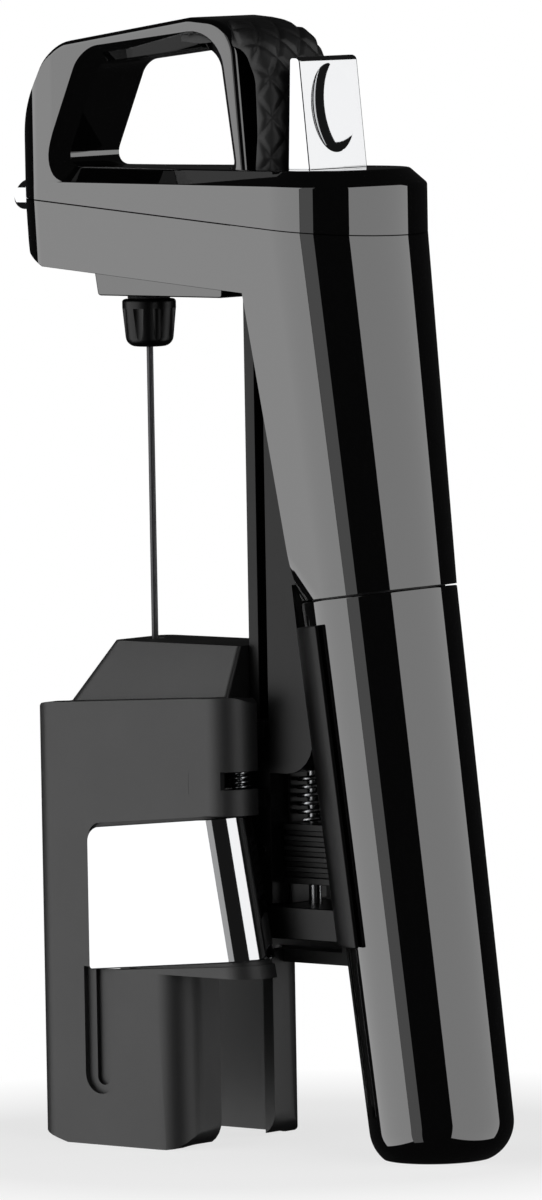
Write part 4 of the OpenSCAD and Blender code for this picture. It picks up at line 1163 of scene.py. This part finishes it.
def stage_material():
    """Pale floor that reflections pass through, as over a cut-away table."""
    mat = bpy.data.materials.new("pale_stage")
    mat.use_nodes = True
    tree = mat.node_tree
    shader = tree.nodes["Principled BSDF"]
    shader.inputs["Base Color"].default_value = (*settings("stage").floor, 1)
    shader.inputs["Roughness"].default_value = 0.9
    shader.inputs["Specular IOR Level"].default_value = 0.0
    glow = tree.nodes.new("ShaderNodeEmission")
    place = tree.nodes.new("ShaderNodeTexCoord")
    far = tree.nodes.new("ShaderNodeVectorMath")
    far.operation = "LENGTH"
    tree.links.new(place.outputs["Object"], far.inputs[0])
    fade = math_node(tree, "SUBTRACT", far.outputs["Value"], 0.08, True)
    fade = math_node(tree, "ADD", math_node(tree, "MULTIPLY", fade, 4.0), 0.72, True)
    rays = tree.nodes.new("ShaderNodeLightPath")
    fade = math_node(tree, "MULTIPLY", fade, rays.outputs["Is Camera Ray"])
    pale = tree.nodes.new("ShaderNodeMixShader")
    tree.links.new(fade, pale.inputs[0])
    tree.links.new(shader.outputs[0], pale.inputs[1])
    tree.links.new(glow.outputs[0], pale.inputs[2])
    clear = tree.nodes.new("ShaderNodeBsdfTransparent")
    stage_mix = tree.nodes.new("ShaderNodeMixShader")
    tree.links.new(rays.outputs["Is Glossy Ray"], stage_mix.inputs[0])
    tree.links.new(pale.outputs[0], stage_mix.inputs[1])
    tree.links.new(clear.outputs[0], stage_mix.inputs[2])
    tree.links.new(stage_mix.outputs[0], tree.nodes["Material Output"].inputs["Surface"])
    return mat


def softbox(name, middle, aim, width, height, power, colour=(1, 1, 1)):
    """One soft rectangular light, looking at a point."""
    data = bpy.data.lights.new(name, "AREA")
    data.shape, data.size, data.size_y = "RECTANGLE", width, height
    data.energy, data.color = power, colour
    light = bpy.data.objects.new(name, data)
    away = (Vector(aim) - Vector(middle)).normalized()
    light.matrix_world = (Matrix.Translation(middle)
                          @ away.to_track_quat("-Z", "Y").to_matrix().to_4x4())
    bpy.context.scene.collection.objects.link(light)
    return light


def from_camera(back, sideways, rise, towards):
    """A point given from the object's middle in the camera's level directions."""
    flat_back = Vector((back.x, back.y, 0)).normalized()
    flat_right = Vector((-flat_back.y, flat_back.x, 0))
    return flat_right * sideways + flat_back * towards + Vector((0, 0, rise))


def make_stage():
    """Camera, pale floor and soft studio lights."""
    make_camera()
    back = camera_axes()[2]
    bm = bmesh.new()
    bmesh.ops.create_circle(bm, cap_ends=True, segments=96, radius=6)
    obj = to_object("floor", bm)
    obj.data.materials.append(stage_material())

    world = bpy.data.worlds.new("studio")
    bpy.context.scene.world = world
    world.use_nodes = True
    tree = world.node_tree
    background = tree.nodes["Background"]
    background.inputs["Color"].default_value = (1, 1, 1, 1)
    rays = tree.nodes.new("ShaderNodeLightPath")
    seen = math_node(tree, "MULTIPLY", rays.outputs["Is Camera Ray"], 0.985)
    strength = math_node(tree, "ADD", seen, 0.015)
    tree.links.new(strength, background.inputs["Strength"])

    middle_height, reach, tall = 0.13, 1.1, 1.9
    aim = from_camera(back, 0, middle_height, 0)
    for name, turn, width, radiance in (
            ("left_wall", -80, 1.4, 2.05), ("left_edge", -38, 0.34, 0.6),
            ("right_wall", 60, 2.0, 1.75)):
        turn = math.radians(turn)
        place = from_camera(back, reach * math.sin(turn), middle_height,
                            reach * math.cos(turn))
        softbox(name, place, aim, width, tall, radiance * math.pi * width * tall)
    bpy.context.scene.view_settings.view_transform = "Standard"


# ---------------------------------------------------------------- operators and panel

class POURER_OT_stage(Operator):
    """Make the camera, the pale floor and the soft lights"""
    bl_idname = "pourer.stage"
    bl_label = "Stage"

    def execute(self, context):
        make_stage()
        return {"FINISHED"}


class POURER_OT_head_cover(Operator):
    """Make the head's upper shell"""
    bl_idname = "pourer.head_cover"
    bl_label = "Head cover"

    def execute(self, context):
        make_head_cover()
        return {"FINISHED"}


class POURER_OT_head_body(Operator):
    """Make the head's lower shell with its slanted sleeve"""
    bl_idname = "pourer.head_body"
    bl_label = "Head body and sleeve"

    def execute(self, context):
        make_head_body()
        return {"FINISHED"}


class POURER_OT_handle(Operator):
    """Make the handle loop"""
    bl_idname = "pourer.handle"
    bl_label = "Handle loop"

    def execute(self, context):
        make_handle()
        return {"FINISHED"}


class POURER_OT_grip(Operator):
    """Make the quilted rubber grip"""
    bl_idname = "pourer.grip"
    bl_label = "Quilted grip"

    def execute(self, context):
        make_grip()
        return {"FINISHED"}


class POURER_OT_trigger(Operator):
    """Make the chrome trigger"""
    bl_idname = "pourer.trigger"
    bl_label = "Trigger"

    def execute(self, context):
        make_trigger()
        return {"FINISHED"}


class POURER_OT_spout(Operator):
    """Make the chrome spout stub"""
    bl_idname = "pourer.spout"
    bl_label = "Spout"

    def execute(self, context):
        make_spout()
        return {"FINISHED"}


class POURER_OT_needle(Operator):
    """Make the needle with its plate, washer and fluted hub"""
    bl_idname = "pourer.needle"
    bl_label = "Needle and hub"

    def execute(self, context):
        make_needle()
        return {"FINISHED"}


class POURER_OT_column(Operator):
    """Make the rail, its housing and foot, the cup guard, the block and the spring"""
    bl_idname = "pourer.column"
    bl_label = "Rail column"

    def execute(self, context):
        make_column()
        return {"FINISHED"}


class POURER_OT_cup(Operator):
    """Make the capsule cup"""
    bl_idname = "pourer.cup"
    bl_label = "Capsule cup"

    def execute(self, context):
        make_cup()
        return {"FINISHED"}


class POURER_OT_hood(Operator):
    """Make the clamp's hood"""
    bl_idname = "pourer.hood"
    bl_label = "Clamp hood"

    def execute(self, context):
        make_hood()
        return {"FINISHED"}


class POURER_OT_slider(Operator):
    """Make the clamp's slider and the jaw springs"""
    bl_idname = "pourer.slider"
    bl_label = "Clamp slider"

    def execute(self, context):
        make_slider()
        return {"FINISHED"}


class POURER_OT_jaws(Operator):
    """Make both jaws with their plates and pads"""
    bl_idname = "pourer.jaws"
    bl_label = "Clamp jaws"

    def execute(self, context):
        make_jaws()
        return {"FINISHED"}


class POURER_OT_inner_parts(Operator):
    """Give the parts carried over from the frame their finishes"""
    bl_idname = "pourer.inner_parts"
    bl_label = "Carried parts"

    def execute(self, context):
        finish_carried_parts()
        return {"FINISHED"}


OPERATORS = (
    POURER_OT_stage, POURER_OT_head_cover, POURER_OT_head_body, POURER_OT_handle,
    POURER_OT_grip, POURER_OT_trigger, POURER_OT_spout, POURER_OT_needle,
    POURER_OT_column, POURER_OT_cup, POURER_OT_hood, POURER_OT_slider, POURER_OT_jaws,
    POURER_OT_inner_parts,
)


class POURER_PT_build(Panel):
    """Sizes, finishes and build steps of the pourer"""
    bl_label = "Needle wine pourer"
    bl_space_type = "VIEW_3D"
    bl_region_type = "UI"
    bl_category = "Pourer"

    def draw(self, context):
        layout = self.layout
        for step in OPERATORS:
            layout.operator(step.bl_idname)
        for name in GROUPS:
            box = layout.box()
            box.label(text=name.capitalize())
            group = getattr(context.scene.pourer, name)
            for prop in group.__annotations__:
                box.prop(group, prop)


CLASSES = (*GROUPS.values(), PourerSettings, *OPERATORS, POURER_PT_build)


def register():
    for cls in CLASSES:
        bpy.utils.register_class(cls)
    bpy.types.Scene.pourer = PointerProperty(type=PourerSettings)


def unregister():
    del bpy.types.Scene.pourer
    for cls in reversed(CLASSES):
        bpy.utils.unregister_class(cls)


def main():
    register()
    for step in OPERATORS:
        group, name = step.bl_idname.split(".")
        getattr(getattr(bpy.ops, group), name)()


if __name__ == "__main__":
    main()
